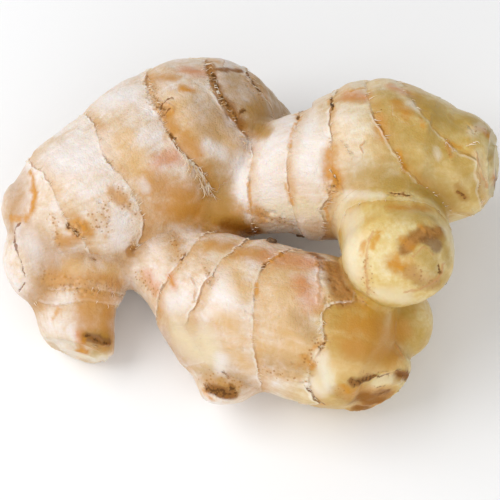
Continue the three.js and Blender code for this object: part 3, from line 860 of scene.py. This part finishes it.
def model_skin():
    eyes, _ = spots_on_limbs(EYES)
    roots, _ = spots_on_limbs(ROOTS)
    skin = even_skin()
    keep_lumpiness(skin, eyes, roots)
    refine(skin, eyes)
    # Twice, because the first move also turns the mesh's normals the right way.
    for _ in range(2):
        work_over(skin, eyes)
    apply_modifier(skin, "TRIANGULATE")
    apply_modifier(skin, "DECIMATE", ratio=min(1, MOST_TRIANGLES / len(skin.data.polygons)))
    keep_in_box(skin)
    return skin


def mark_skin(skin):
    """Stores what the material needs to know of each place: its ring, age, limb and marks."""
    points = to_growth(vertices_of(skin))
    survey = Survey(points)
    tree = tree_of(skin)
    store(skin, "ring", np.clip(survey.to_ring + raggedness(points), -6, 6))
    store(skin, "near_ring", smoothstep(1, 0.55, 2 * np.abs(survey.to_ring) / np.maximum(survey.space, 7)))
    store(skin, "between", np.clip(survey.between, 0, 1))
    store(skin, "young", spread(skin, survey.young, SHARING))
    store(skin, "bold", survey.bold * wear(points))
    # Nearness to another limb: the material paints shade into the creases by it, and evens out the streaks
    # there.
    store(skin, "crease", spread(skin, smoothstep(7, 0, survey.to_other), FOLDING))
    store(skin, "cut", survey.flesh * smoothstep(-0.75, -0.35, survey.cut))
    rim = smoothstep(1.8, 0.3, np.abs(survey.height)) * smoothstep(-1.3, -0.7, survey.cut)
    store(skin, "cut_rim", rim * survey.flesh)
    grain = skin.data.attributes.new("grain", "FLOAT_VECTOR", "POINT")
    along = np.stack([survey.along, survey.round_x, survey.round_y], -1)
    grain.data.foreach_set("vector", along.astype(np.float32).ravel())
    for kind in MARKS:
        store(skin, kind, strength_of(kind, points, tree))
    eyes, _ = spots_on_limbs(EYES)
    roots, _ = spots_on_limbs(ROOTS)
    store(skin, "eye", smoothstep(EYE_RADIUS * 1.7, EYE_RADIUS * 0.5, nearness(points, eyes)))
    store(skin, "root", smoothstep(3.4, 0.8, nearness(points, roots)))


# ---- Fringes, fibres and root stubs ---------------------------------------------------------------------

FRINGE_STEP = 0.32  # between two teeth of a fringe, in millimetres
FRINGE_THICKNESS = 0.07
HIDDEN = 1.3  # a ring this far from the skin runs inside another limb
FIBRE_RADIUS, REMNANT_RADIUS = 0.16, 0.32  # of loose fibres, and of what is left of old roots
FIBRE_STEPS = 6  # points along a fibre
STRAY_FIBRES = 0.9  # how many there are along a millimetre of a bold ring scar
STUB_RADIUS, STUB_HEIGHT = 1.25, 1.2  # of a broken root's foot


def fringe_rows(limb, i, tree, draws):
    """Stretches of fringe along one ring: for each tooth its root, its bend and its tip, in the row frame."""
    radius = np.interp(limb.rings[i][0], limb.arc, limb.table[:, 3])
    count = int(2 * math.pi * radius / FRINGE_STEP)
    angle = np.linspace(0, 2 * math.pi, count + 1)
    run = limb.runs(angle)[i + 1]
    crest, _ = limb.skin(run, angle, 0.3)
    run = run - raggedness(crest)
    bold = limb.rings[i][3] * wear(crest)
    tears, nicks = np.clip(rough(crest, 1.6, 41), 0, 1), np.clip(rough(crest, 0.7, 43), 0, 1)
    length = bold * (0.05 + 0.9 * tears + 0.8 * nicks)
    length *= np.array([draws.uniform(0.4, 1.3) for _ in angle])
    columns = [
        limb.skin(run + past, angle, lift)
        for past, lift in ((-0.6, 0.3), (0.1, 0.3), (length, 0))
    ]
    stretches, stretch = [], []
    for k in range(count + 1):
        lifts = (-0.12, 0.03, 0.02 + 0.25 * length[k] * draws.uniform(0.1, 1))
        row = []
        for (points, _), lift in zip(columns, lifts):
            wanted = Vector(to_row(points[k]))
            hit, normal, _, away = tree.find_nearest(wanted)
            row.append(hit + normal * lift * MM)
        if away < HIDDEN * MM and length[k] > 0.1:
            stretch.append(row)
        else:
            stretches.append(stretch)
            stretch = []
    return [s for s in [*stretches, stretch] if len(s) > 6]


def finish_piece(name, shape):
    mesh = bpy.data.meshes.new(name)
    bmesh.ops.recalc_face_normals(shape, faces=shape.faces)
    shape.to_mesh(mesh)
    shape.free()
    return new_piece(name, mesh)


def model_fringes(tree):
    shape = bmesh.new()
    draws = random.Random(7)
    for limb in LIMBS.values():
        for i in range(len(limb.rings)):
            for stretch in fringe_rows(limb, i, tree, draws):
                rows = [[shape.verts.new(p) for p in row] for row in stretch]
                for one, two in zip(rows, rows[1:]):
                    for k in range(2):
                        shape.faces.new((one[k], one[k + 1], two[k + 1], two[k]))
    fringes = finish_piece("scale_leaf_fringes", shape)
    apply_modifier(fringes, "SOLIDIFY", thickness=FRINGE_THICKNESS * MM, offset=0)
    keep_in_box(fringes)
    return fringes


def lay_fibre(shape, path, radius):
    """A thin three-sided fibre along a path of (point, way out), tapering to its tip."""
    points = [point for point, _ in path]
    rings = []
    for k, (point, outward) in enumerate(path[:-1]):
        along = (points[k + 1] - points[max(k - 1, 0)]).normalized()
        across = along.cross(outward).normalized()
        size = radius * (1 - k / len(path)) * MM
        sides = (outward, across * 0.87 - outward * 0.5, across * -0.87 - outward * 0.5)
        rings.append([shape.verts.new(point + side * size) for side in sides])
    for one, two in zip(rings, rings[1:]):
        for k in range(3):
            shape.faces.new((one[k], one[k - 1], two[k - 1], two[k]))
    shape.faces.new(rings[0])
    tip = shape.verts.new(points[-1])
    for k in range(3):
        shape.faces.new((rings[-1][k], rings[-1][k - 1], tip))


def hang_fibres(shape, curtains, radius, tree, draws):
    """Fibres that hang from lines across the camera's picture."""
    for count, length, (dx, dy), line in curtains:
        for _ in range(count):
            k = draws.randrange(len(line) - 1)
            share = draws.random()
            (x0, y0), (x1, y1) = line[k], line[k + 1]
            x, y = x0 + (x1 - x0) * share, y0 + (y1 - y0) * share
            turn = math.atan2(dy, dx) + draws.uniform(-0.35, 0.35)
            reach = length * draws.uniform(0.4, 1.2) * PICTURE / PICTURE_WIDTH
            bend = draws.uniform(-0.6, 0.6)
            path = []
            for step in range(FIBRE_STEPS):
                t = step / (FIBRE_STEPS - 1)
                way = turn + bend * t
                hit, normal = seen(tree, x + reach * t * math.cos(way), y + reach * t * math.sin(way))
                if hit:
                    lift = 0.5 * math.sin(math.pi * t) + radius / 2
                    path.append((hit + normal * lift * MM, normal))
            if len(path) == FIBRE_STEPS and (path[0][0] - path[-1][0]).length < 2.5 * length * MM:
                lay_fibre(shape, path, radius * draws.uniform(0.6, 1.2))


def strew_fibres(shape, radius, tree, draws):
    """Stray fibres along every ring scar."""
    for limb in LIMBS.values():
        for i, (ring, _, _, bold) in enumerate(limb.rings):
            girth = 2 * math.pi * float(np.interp(ring, limb.arc, limb.table[:, 3]))
            for _ in range(int(girth * STRAY_FIBRES * bold)):
                angle = draws.uniform(-math.pi, math.pi)
                length = draws.uniform(0.4, 1.5)
                drift = draws.uniform(-5.6, 5.6) * length / girth
                start = limb.runs(np.array([angle]))[i + 1, 0] + draws.uniform(-0.8, 0.4)
                path = []
                for step in range(FIBRE_STEPS):
                    t = step / (FIBRE_STEPS - 1)
                    at, round_it = start + length * t, angle + drift * t * (1.5 - t)
                    spot, _ = limb.skin(np.array([at]), np.array([round_it]))
                    hit, normal, _, away = tree.find_nearest(Vector(to_row(spot[0])))
                    if away < HIDDEN * MM:
                        lift = 0.16 * math.sin(math.pi * t) + radius / 2
                        path.append((hit + normal * lift * MM, normal))
                if len(path) == FIBRE_STEPS:
                    lay_fibre(shape, path, radius * draws.uniform(0.5, 1.0))


def model_fibres(tree):
    """Loose fibres: curtains of them where the skin is torn, and stray ones along the ring scars."""
    shape, draws = bmesh.new(), random.Random(41)
    hang_fibres(shape, CURTAINS, FIBRE_RADIUS, tree, draws)
    strew_fibres(shape, FIBRE_RADIUS, tree, draws)
    fibres = finish_piece("skin_fibres", shape)
    keep_in_box(fibres)
    return fibres


def model_remnants(tree):
    """What is left of old roots and scale leaves, dark and curled."""
    shape, draws = bmesh.new(), random.Random(43)
    hang_fibres(shape, REMNANTS, REMNANT_RADIUS, tree, draws)
    remnants = finish_piece("root_remnants", shape)
    keep_in_box(remnants)
    return remnants


def root_stub():
    """The stub of a broken root: a short post that narrows in three steps."""
    bpy.ops.object.select_all(action="DESELECT")
    bpy.ops.mesh.primitive_cylinder_add(
        vertices=14, radius=STUB_RADIUS * MM, depth=STUB_HEIGHT * MM, end_fill_type="TRIFAN")
    stub = bpy.context.object
    bpy.ops.object.mode_set(mode="EDIT")
    shape = bmesh.from_edit_mesh(stub.data)
    for lift, shrink in ((0.8, 0.9), (0.55, 0.85), (0.35, 0.7)):
        top = max(v.co.z for v in shape.verts)
        for face in shape.faces:
            face.select_set(all(v.co.z > top - 0.01 * MM for v in face.verts))
        bmesh.update_edit_mesh(stub.data)
        bpy.ops.mesh.extrude_region_move(TRANSFORM_OT_translate={"value": (0, 0, lift * MM)})
        bpy.ops.transform.resize(value=(shrink, shrink, 1))
        shape = bmesh.from_edit_mesh(stub.data)
    bpy.ops.object.mode_set(mode="OBJECT")
    return stub


def model_root_stubs(tree):
    """One stub, turned, scaled and torn a little differently at each of its places, and joined."""
    stub = root_stub()
    master = vertices_of(stub)
    draws = random.Random(23)
    places, _ = spots_on_limbs(ROOTS)
    copies = []
    for k, place in enumerate(places):
        hit, normal, *_ = tree.find_nearest(Vector(to_row(place)))
        copy = new_piece(f"stub_{k}", stub.data.copy())
        size = draws.uniform(0.8, 1.15)
        torn = rough(master / MM, 0.9, 3.1 * k)[:, None] * 0.28 + 1
        tilt = Vector((draws.uniform(-0.25, 0.25), draws.uniform(-0.25, 0.25), 0))
        turn = (normal + tilt).to_track_quat("Z", "Y").to_matrix().to_4x4()
        spin = Matrix.Rotation(draws.uniform(0, 6.28), 4, "Z")
        move_vertices(copy, master * torn * size)
        copy.data.transform(Matrix.Translation(hit) @ turn @ spin)
        copies.append(copy)
    bpy.data.objects.remove(stub)
    select_only(copies[0])
    for copy in copies:
        copy.select_set(True)
    bpy.ops.object.join()
    stubs = bpy.context.object
    stubs.name = "root_stubs"
    keep_in_box(stubs)
    return stubs


# ---- Materials ------------------------------------------------------------------------------------------


def colour(code):
    """An sRGB hex code as a linear colour."""
    channels = [int(code[i:i + 2], 16) / 255 for i in (1, 3, 5)]
    return (*[c / 12.92 if c <= 0.04045 else ((c + 0.055) / 1.055) ** 2.4 for c in channels], 1.0)


def add(tree, kind, links=None, output=None, stops=None, **settings):
    """Adds a node, sets its properties and plugs links, {input: value or socket}, into it. Gives an output,
    or the node where it has none."""
    node = tree.nodes.new(kind)
    for name, value in settings.items():
        setattr(node, name, value)
    for name, value in (links or {}).items():
        named = [s for s in node.inputs if s.enabled and s.name == name]
        socket = named[0] if named else node.inputs[name]
        if isinstance(value, bpy.types.NodeSocket):
            tree.links.new(value, socket)
        else:
            socket.default_value = value
    for k, (position, code) in enumerate(stops or []):
        element = node.color_ramp.elements[k] if k < 2 else node.color_ramp.elements.new(position)
        element.position, element.color = position, colour(code)
    return next((s for s in node.outputs if s.enabled and output in (None, s.name)), node)


def new_material(name):
    material = bpy.data.materials.new(name)
    material.use_nodes = True
    material.node_tree.nodes.clear()
    return material, material.node_tree


def per_metre(size_mm):
    """A noise texture's scale for lumps of this size."""
    return 1000 / size_mm


def finish_material(material, tree, shader):
    add(tree, "ShaderNodeOutputMaterial", {"Surface": shader})
    return material


# The noises of the skin: the size of their lumps in millimetres, their detail and their bend.
NOISES = {
    "clouds": (18, 4, 0.9),
    "patches": (5, 5, 0.5),
    "specks": (1.3, 3, 0.2),
    "dots": (0.8, 1, 0.0),
    "grit": (0.45, 2, 0.0),
}
CRUMB_SIZE = 1.1


def skin_fields(tree):
    """What the skin's material goes by at each place: what is stored there, and noises of several sizes."""
    place = add(tree, "ShaderNodeTexCoord", output="Object")
    grain = add(tree, "ShaderNodeAttribute", output="Vector", attribute_name="grain")
    known = {
        name: add(tree, "ShaderNodeAttribute", output="Fac", attribute_name=name)
        for name in (
            "ring", "near_ring", "between", "bold", "young", "crease", "cut", "cut_rim", "eye", "root",
            *MARKS,
        )
    }
    for name, (size, detail, bend) in NOISES.items():
        known[name] = add(tree, "ShaderNodeTexNoise", {
            "Vector": place,
            "Scale": per_metre(size),
            "Detail": detail,
            "Roughness": 0.62,
            "Distortion": bend,
        }, "Fac")
    for name, stretch in (("hoops", (0.9, 0.12, 0.12)), ("strands", (0.12, 0.9, 0.9))):
        drawn_out = add(tree, "ShaderNodeMapping", {"Vector": grain, "Scale": stretch})
        known[name] = add(tree, "ShaderNodeTexNoise",
                          {"Vector": drawn_out, "Scale": 1.0, "Detail": 3.0}, "Fac")
    crumbs = add(tree, "ShaderNodeTexVoronoi", {"Vector": place, "Scale": per_metre(CRUMB_SIZE)}, "Distance")
    known["crumbs"] = add(tree, "ShaderNodeMapRange", {"Value": crumbs, "From Min": 0.36, "From Max": 0.12})
    torn = add(tree, "ShaderNodeMath", {0: known["eye"], 1: 0.6}, operation="MULTIPLY")
    for name in ("rust", "root"):
        torn = add(tree, "ShaderNodeMath", {0: known[name], 1: torn}, operation="MAXIMUM")
    known["torn"] = torn
    known["scab"] = add(tree, "ShaderNodeMath", {0: torn, 1: known["scar"]}, operation="MAXIMUM")
    return known


def weigh(tree, total, *terms):
    """Adds values up, each with its weight."""
    for value, weight in terms:
        total = add(tree, "ShaderNodeMath", {0: value, 1: weight, 2: total}, operation="MULTIPLY_ADD")
    return total


def paint(tree, skin, tint, mask, edge, low, high, most, hardness):
    """Covers the skin with a tint inside a mask, more and more as its edge value rises from low to high."""
    amount = add(tree, "ShaderNodeMapRange",
                 {"Value": edge, "From Min": low, "From Max": high, "To Max": most},
                 interpolation_type="SMOOTHSTEP")
    shown = add(tree, "ShaderNodeMath", {0: mask, 1: hardness}, operation="MULTIPLY", use_clamp=True)
    amount = add(tree, "ShaderNodeMath", {0: amount, 1: shown}, operation="MULTIPLY")
    return add(tree, "ShaderNodeMix", {"Factor": amount, "A": skin, "B": tint}, data_type="RGBA")


def skin_tone(tree, known):
    """Between two rings the skin goes from tan, just past the last ring, to cream."""
    fresh = add(tree, "ShaderNodeMapRange",
                {"Value": known["between"], "From Min": 0.0, "From Max": 0.4, "To Min": 0.18, "To Max": 0.1},
                interpolation_type="SMOOTHSTEP")
    streaks = add(tree, "ShaderNodeMix", {"Factor": known["crease"], "A": known["strands"], "B": 0.5},
                  data_type="FLOAT")
    tone = weigh(tree, fresh, (known["clouds"], 0.36), (known["patches"], 0.24), (streaks, 0.14),
                 (known["specks"], 0.1))
    old = add(tree, "ShaderNodeValToRGB", {"Fac": tone}, "Color", stops=[
        (0.36, "#efecee"), (0.84, "#b47e3c"), (0.48, "#e9dacd"), (0.57, "#dcc1a1"), (0.68, "#cd9f6a")])
    waxy = add(tree, "ShaderNodeValToRGB", {"Fac": tone}, "Color", stops=[
        (0.34, "#ede4cc"), (0.88, "#ad7a24"), (0.46, "#e3cf98"), (0.55, "#d9b96c"), (0.68, "#c89a3c")])
    return add(tree, "ShaderNodeMix", {"Factor": known["young"], "A": old, "B": waxy}, data_type="RGBA")


def paint_crease_shade(tree, known, skin):
    """Painted shade in the creases where two limbs press together: a darker, warmer gold, yellower where the
    skin is young.
    """
    crease_shade = weigh(tree, known["crease"], (known["patches"], 0.5))
    crease_shade = add(tree, "ShaderNodeMapRange", {"Value": crease_shade, "From Min": 0.45, "From Max": 1.3, "To Max": 0.85},
               interpolation_type="SMOOTHSTEP")
    crease_shade_tint = add(tree, "ShaderNodeMix",
                {"Factor": known["young"], "A": colour("#b07820"), "B": colour("#b98c28")}, data_type="RGBA")
    return add(tree, "ShaderNodeMix", {"Factor": crease_shade, "A": skin, "B": crease_shade_tint}, data_type="RGBA")


def paint_cuts(tree, known, skin):
    """Cut flesh: pale yellow-green and damp, with a dry pale rim."""
    flesh = add(tree, "ShaderNodeValToRGB", {"Fac": known["patches"]}, "Color", stops=[
        (0.35, "#dccd9a"), (0.7, "#b0934e"), (0.52, "#c8b071")])
    skin = add(tree, "ShaderNodeMix", {"Factor": known["cut"], "A": skin, "B": flesh}, data_type="RGBA")
    rim = add(tree, "ShaderNodeMath", {0: known["cut_rim"], 1: 0.35}, operation="MULTIPLY")
    return add(tree, "ShaderNodeMix", {"Factor": rim, "A": skin, "B": colour("#e3d6b0")}, data_type="RGBA")


def paint_places(tree, known, skin):
    """Soft-edged places: honey, olive and blush tint the skin; golden and tan are partly the skin's own and
    partly painted shade; umber and dusk are mostly painted shade; cream is partly creamy skin and partly
    painted light; pale is partly dry papery skin and partly painted highlight. Each has its tint, the most that
    shows of it, and where between dapple and mark it begins and is full."""
    # The pale tint: partly dry papery skin, partly painted highlight.
    pale_and_highlight_tint = add(tree, "ShaderNodeMix",
              {"Factor": known["young"], "A": colour("#efecec"), "B": colour("#efe8d6")}, data_type="RGBA")
    dapple = weigh(tree, 0.0, (known["patches"], 0.7), (known["clouds"], 0.6), (known["specks"], 0.3))
    for name, tint, most, low, high in (
        ("honey", colour("#d8ab66"), 0.75, 0.6, 2.0), ("cream", colour("#eadcb8"), 0.7, 0.6, 1.9),
        ("olive", colour("#b38e34"), 0.75, 0.6, 1.9), ("golden", colour("#c48418"), 0.8, 0.7, 1.8),
        ("dusk", colour("#ac8350"), 0.55, 0.6, 2.0), ("pale", pale_and_highlight_tint, 0.6, 0.6, 2.0),
        ("blush", colour("#d17a38"), 0.65, 0.6, 2.0), ("tan", colour("#ae8028"), 0.8, 0.7, 1.7),
        ("umber", colour("#8c5412"), 0.85, 0.7, 1.6),
    ):
        edge = add(tree, "ShaderNodeMath", {0: dapple, 1: known[name]}, operation="ADD")
        skin = paint(tree, skin, tint, known[name], edge, low, high, most, 3.0)
    return skin


def paint_ring_scars(tree, known, skin):
    """A ring scar: a pale papery edge before it, tan that fades beyond it and an orange-brown line at its
    step. Each begins, is full, begins to fade and is gone at so many millimetres past the ring."""
    line = add(tree, "ShaderNodeValToRGB", {"Fac": known["patches"]}, "Color", stops=[
        (0.42, "#bd7a2c"), (0.6, "#7a4e22")])
    kept = add(tree, "ShaderNodeMath", {0: known["bold"], 1: 0.8, 2: 0.15}, operation="MULTIPLY_ADD")
    for begins, full, fades, gone, tint, most in (
        (-0.9, -0.5, -0.25, -0.1, colour("#f6eee4"), 0.6),
        (0.1, 0.4, 0.8, 3.2, colour("#cb8d3a"), 0.5),
        (-0.2, -0.05, 0.15, 0.4, line, 0.95),
    ):
        rise = add(tree, "ShaderNodeMapRange", {"Value": known["ring"], "From Min": begins, "From Max": full},
                   interpolation_type="SMOOTHSTEP")
        fall = add(tree, "ShaderNodeMapRange",
                   {"Value": known["ring"], "From Min": gone, "From Max": fades, "To Max": most},
                   interpolation_type="SMOOTHSTEP")
        shown = add(tree, "ShaderNodeMath", {0: rise, 1: fall}, operation="MULTIPLY")
        for limit in (kept, known["near_ring"]):
            shown = add(tree, "ShaderNodeMath", {0: shown, 1: limit}, operation="MULTIPLY")
        skin = add(tree, "ShaderNodeMix", {"Factor": shown, "A": skin, "B": tint}, data_type="RGBA")
    return skin


def paint_scabs(tree, known, skin):
    """Corky scabs and cracks: rust where the skin is torn, dark brown where it has healed, and specks of
    both. Each has its mask, its colour, the noise that breaks its edge up, the weights of that noise and of
    the patches, where it begins and is full, and the most that shows of it."""
    for mask, code, spots, fine, coarse, low, high, most in (
        ("seam", "#c48a52", "patches", 0.5, 0.3, 0.6, 1.2, 0.6),
        ("bruise", "#7a4a20", "patches", 0.5, 0.0, 0.4, 0.9, 0.7),
        ("torn", "#cf8e30", "specks", 0.8, 0.9, 1.0, 1.8, 0.65),
        ("speckle", "#cf9f63", "specks", 1.4, 0.4, 1.1, 2.0, 0.45),
        ("speckle", "#b58143", "crumbs", 0.9, 1.0, 1.3, 1.75, 0.65),
        ("speckle", "#7a4c22", "crumbs", 1.2, 1.6, 2.45, 2.8, 0.35),
        ("scar", "#946430", "specks", 1.3, 0.9, 1.3, 1.85, 0.85),
        ("scar", "#58391c", "dots", 2.2, 0.6, 1.95, 2.5, 0.8),
        ("crack", "#855327", "specks", 0.9, 0.4, 0.85, 1.25, 0.85),
    ):
        edge = weigh(tree, known[mask], (known[spots], fine), (known["patches"], coarse))
        skin = paint(tree, skin, colour(code), known[mask], edge, low, high, most, 5.0)
    return skin


def rhizome_skin():
    """Fresh rhizome skin: a thin corky layer, papery and pale where it is old, waxy and yellow where it is
    young, over wet flesh that lets light a few millimetres in. Satin where it is smooth, dull where it is
    scabbed and where umber and dusk paint shade."""
    material, tree = new_material("rhizome_skin")
    known = skin_fields(tree)
    skin = skin_tone(tree, known)
    for paint_layer in (paint_crease_shade, paint_cuts, paint_places, paint_ring_scars, paint_scabs):
        skin = paint_layer(tree, known, skin)

    smooth = add(tree, "ShaderNodeMath", {0: known["young"], 1: known["golden"]}, operation="MAXIMUM")
    gloss = add(tree, "ShaderNodeMapRange", {"Value": smooth, "To Min": 0.43, "To Max": 0.31})
    gloss = weigh(tree, gloss, (known["specks"], 0.12), (known["scab"], 0.3))
    dull = known["scab"]
    for name in ("umber", "dusk"):
        dull = add(tree, "ShaderNodeMath", {0: dull, 1: known[name]}, operation="MAXIMUM")
    shine, coat = (
        add(tree, "ShaderNodeMapRange", {"Value": dull, "From Max": 0.7, "To Min": most, "To Max": least})
        for most, least in ((0.5, 0.12), (0.28, 0.0))
    )
    height = weigh(tree, known["grit"], (known["specks"], 1.6), (known["hoops"], 0.5),
                   (known["strands"], 0.5), (known["patches"], 3.0))
    depth = add(tree, "ShaderNodeMapRange", {"Value": smooth, "To Min": 1.0, "To Max": 0.4})
    bump = add(tree, "ShaderNodeBump", {"Height": height, "Strength": depth, "Distance": 0.18 * MM}, "Normal")
    shader = add(tree, "ShaderNodeBsdfPrincipled", {
        "Base Color": skin,
        "Roughness": gloss,
        "Normal": bump,
        "IOR": 1.42,
        "Specular IOR Level": shine,
        "Subsurface Weight": 0.3,
        "Subsurface Radius": (1.0, 0.5, 0.22),
        "Subsurface Scale": 1.3 * MM,
        "Coat Weight": coat,
        "Coat Roughness": 0.28,
    })
    return finish_material(material, tree, shader)


def scale_leaf_paper():
    """What is left of the scale leaves: thin dry paper, cream to rust, with no shine."""
    material, tree = new_material("scale_leaf_paper")
    place = add(tree, "ShaderNodeTexCoord", output="Object")
    blotches = add(tree, "ShaderNodeTexNoise",
                   {"Vector": place, "Scale": per_metre(3), "Detail": 4.0, "Roughness": 0.65}, "Fac")
    paper = add(tree, "ShaderNodeValToRGB", {"Fac": blotches}, "Color", stops=[
        (0.36, "#f6ead8"), (0.74, "#a8743f"), (0.54, "#ead0ab"), (0.63, "#cf9f66")])
    shader = add(tree, "ShaderNodeBsdfPrincipled", {
        "Base Color": paper,
        "Roughness": 0.8,
        "Subsurface Weight": 0.3,
        "Subsurface Radius": (1.0, 0.6, 0.3),
        "Subsurface Scale": 1.0 * MM,
    })
    return finish_material(material, tree, shader)


def dry_root():
    """A broken root: dead cork, dark grey-brown, dull and crumbly."""
    material, tree = new_material("dry_root")
    place = add(tree, "ShaderNodeTexCoord", output="Object")
    crumbs = add(tree, "ShaderNodeTexNoise",
                 {"Vector": place, "Scale": per_metre(0.9), "Detail": 4.0, "Roughness": 0.7}, "Fac")
    cork = add(tree, "ShaderNodeValToRGB", {"Fac": crumbs}, "Color", stops=[
        (0.35, "#3f2f22"), (0.72, "#b08d62"), (0.55, "#75573a")])
    bump = add(tree, "ShaderNodeBump", {"Height": crumbs, "Strength": 0.8, "Distance": 0.2 * MM}, "Normal")
    shader = add(tree, "ShaderNodeBsdfPrincipled", {"Base Color": cork, "Roughness": 0.85, "Normal": bump})
    return finish_material(material, tree, shader)


def white_board():
    """The table: a matt white board."""
    material, tree = new_material("white_board")
    shader = add(tree, "ShaderNodeBsdfPrincipled", {"Base Color": colour("#f9f9f9"), "Roughness": 0.9})
    return finish_material(material, tree, shader)


def dress(piece, material, smooth=True):
    piece.data.materials.clear()
    piece.data.materials.append(material)
    piece.data.polygons.foreach_set("use_smooth", [smooth] * len(piece.data.polygons))
    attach(piece, "root")


# ---- The studio -----------------------------------------------------------------------------------------

TABLE_SIZE = 3  # in metres


def place_camera():
    data = bpy.data.cameras.new("camera")
    data.sensor_width = SENSOR
    data.lens = SENSOR * CAMERA[2] / PICTURE_WIDTH
    data.clip_start = 0.01
    camera = new_piece("camera", data)
    camera.location = to_row(CAMERA)
    camera.rotation_euler = (LEAN, 0, 0)
    bpy.context.scene.camera = camera


def softbox(name, place, size, power, tint="#ffffff"):
    """A square light that looks at the hand: its place in the growth frame, its size in metres, its watts."""
    data = bpy.data.lights.new(name, "AREA")
    data.size, data.energy, data.color = size, power, colour(tint)[:3]
    light = new_piece(name, data)
    light.location = to_row(np.array(place))
    towards = Vector(to_row(np.zeros(3))) - light.location
    light.rotation_euler = towards.to_track_quat("-Z", "Y").to_euler()


def set_up_studio():
    bpy.ops.mesh.primitive_plane_add(size=TABLE_SIZE)
    floor = bpy.context.object
    floor.name = "table_top"
    floor.data.materials.append(white_board())
    softbox("key", (-500, 270, 440), 0.6, 3.8, "#fdfeff")
    softbox("fill", (140, -300, 560), 0.9, 2.4)
    world = bpy.data.worlds.new("studio")
    world.use_nodes = True
    background = world.node_tree.nodes["Background"]
    background.inputs["Color"].default_value = colour("#fcfcfd")
    background.inputs["Strength"].default_value = 0.43
    bpy.context.scene.world = world
    bpy.context.scene.view_settings.view_transform = "Standard"


draw_rings(tree_of(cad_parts["rhizome"]))
skin = model_skin()
mark_skin(skin)
skin_tree = tree_of(skin)
fringes = model_fringes(skin_tree)
fibres = model_fibres(skin_tree)
remnants = model_remnants(skin_tree)
stubs = model_root_stubs(skin_tree)
dress(skin, rhizome_skin())
dress(fringes, scale_leaf_paper(), smooth=False)
dress(fibres, scale_leaf_paper(), smooth=False)
dress(remnants, dry_root())
dress(stubs, dry_root())
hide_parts("rhizome")
place_camera()
set_up_studio()
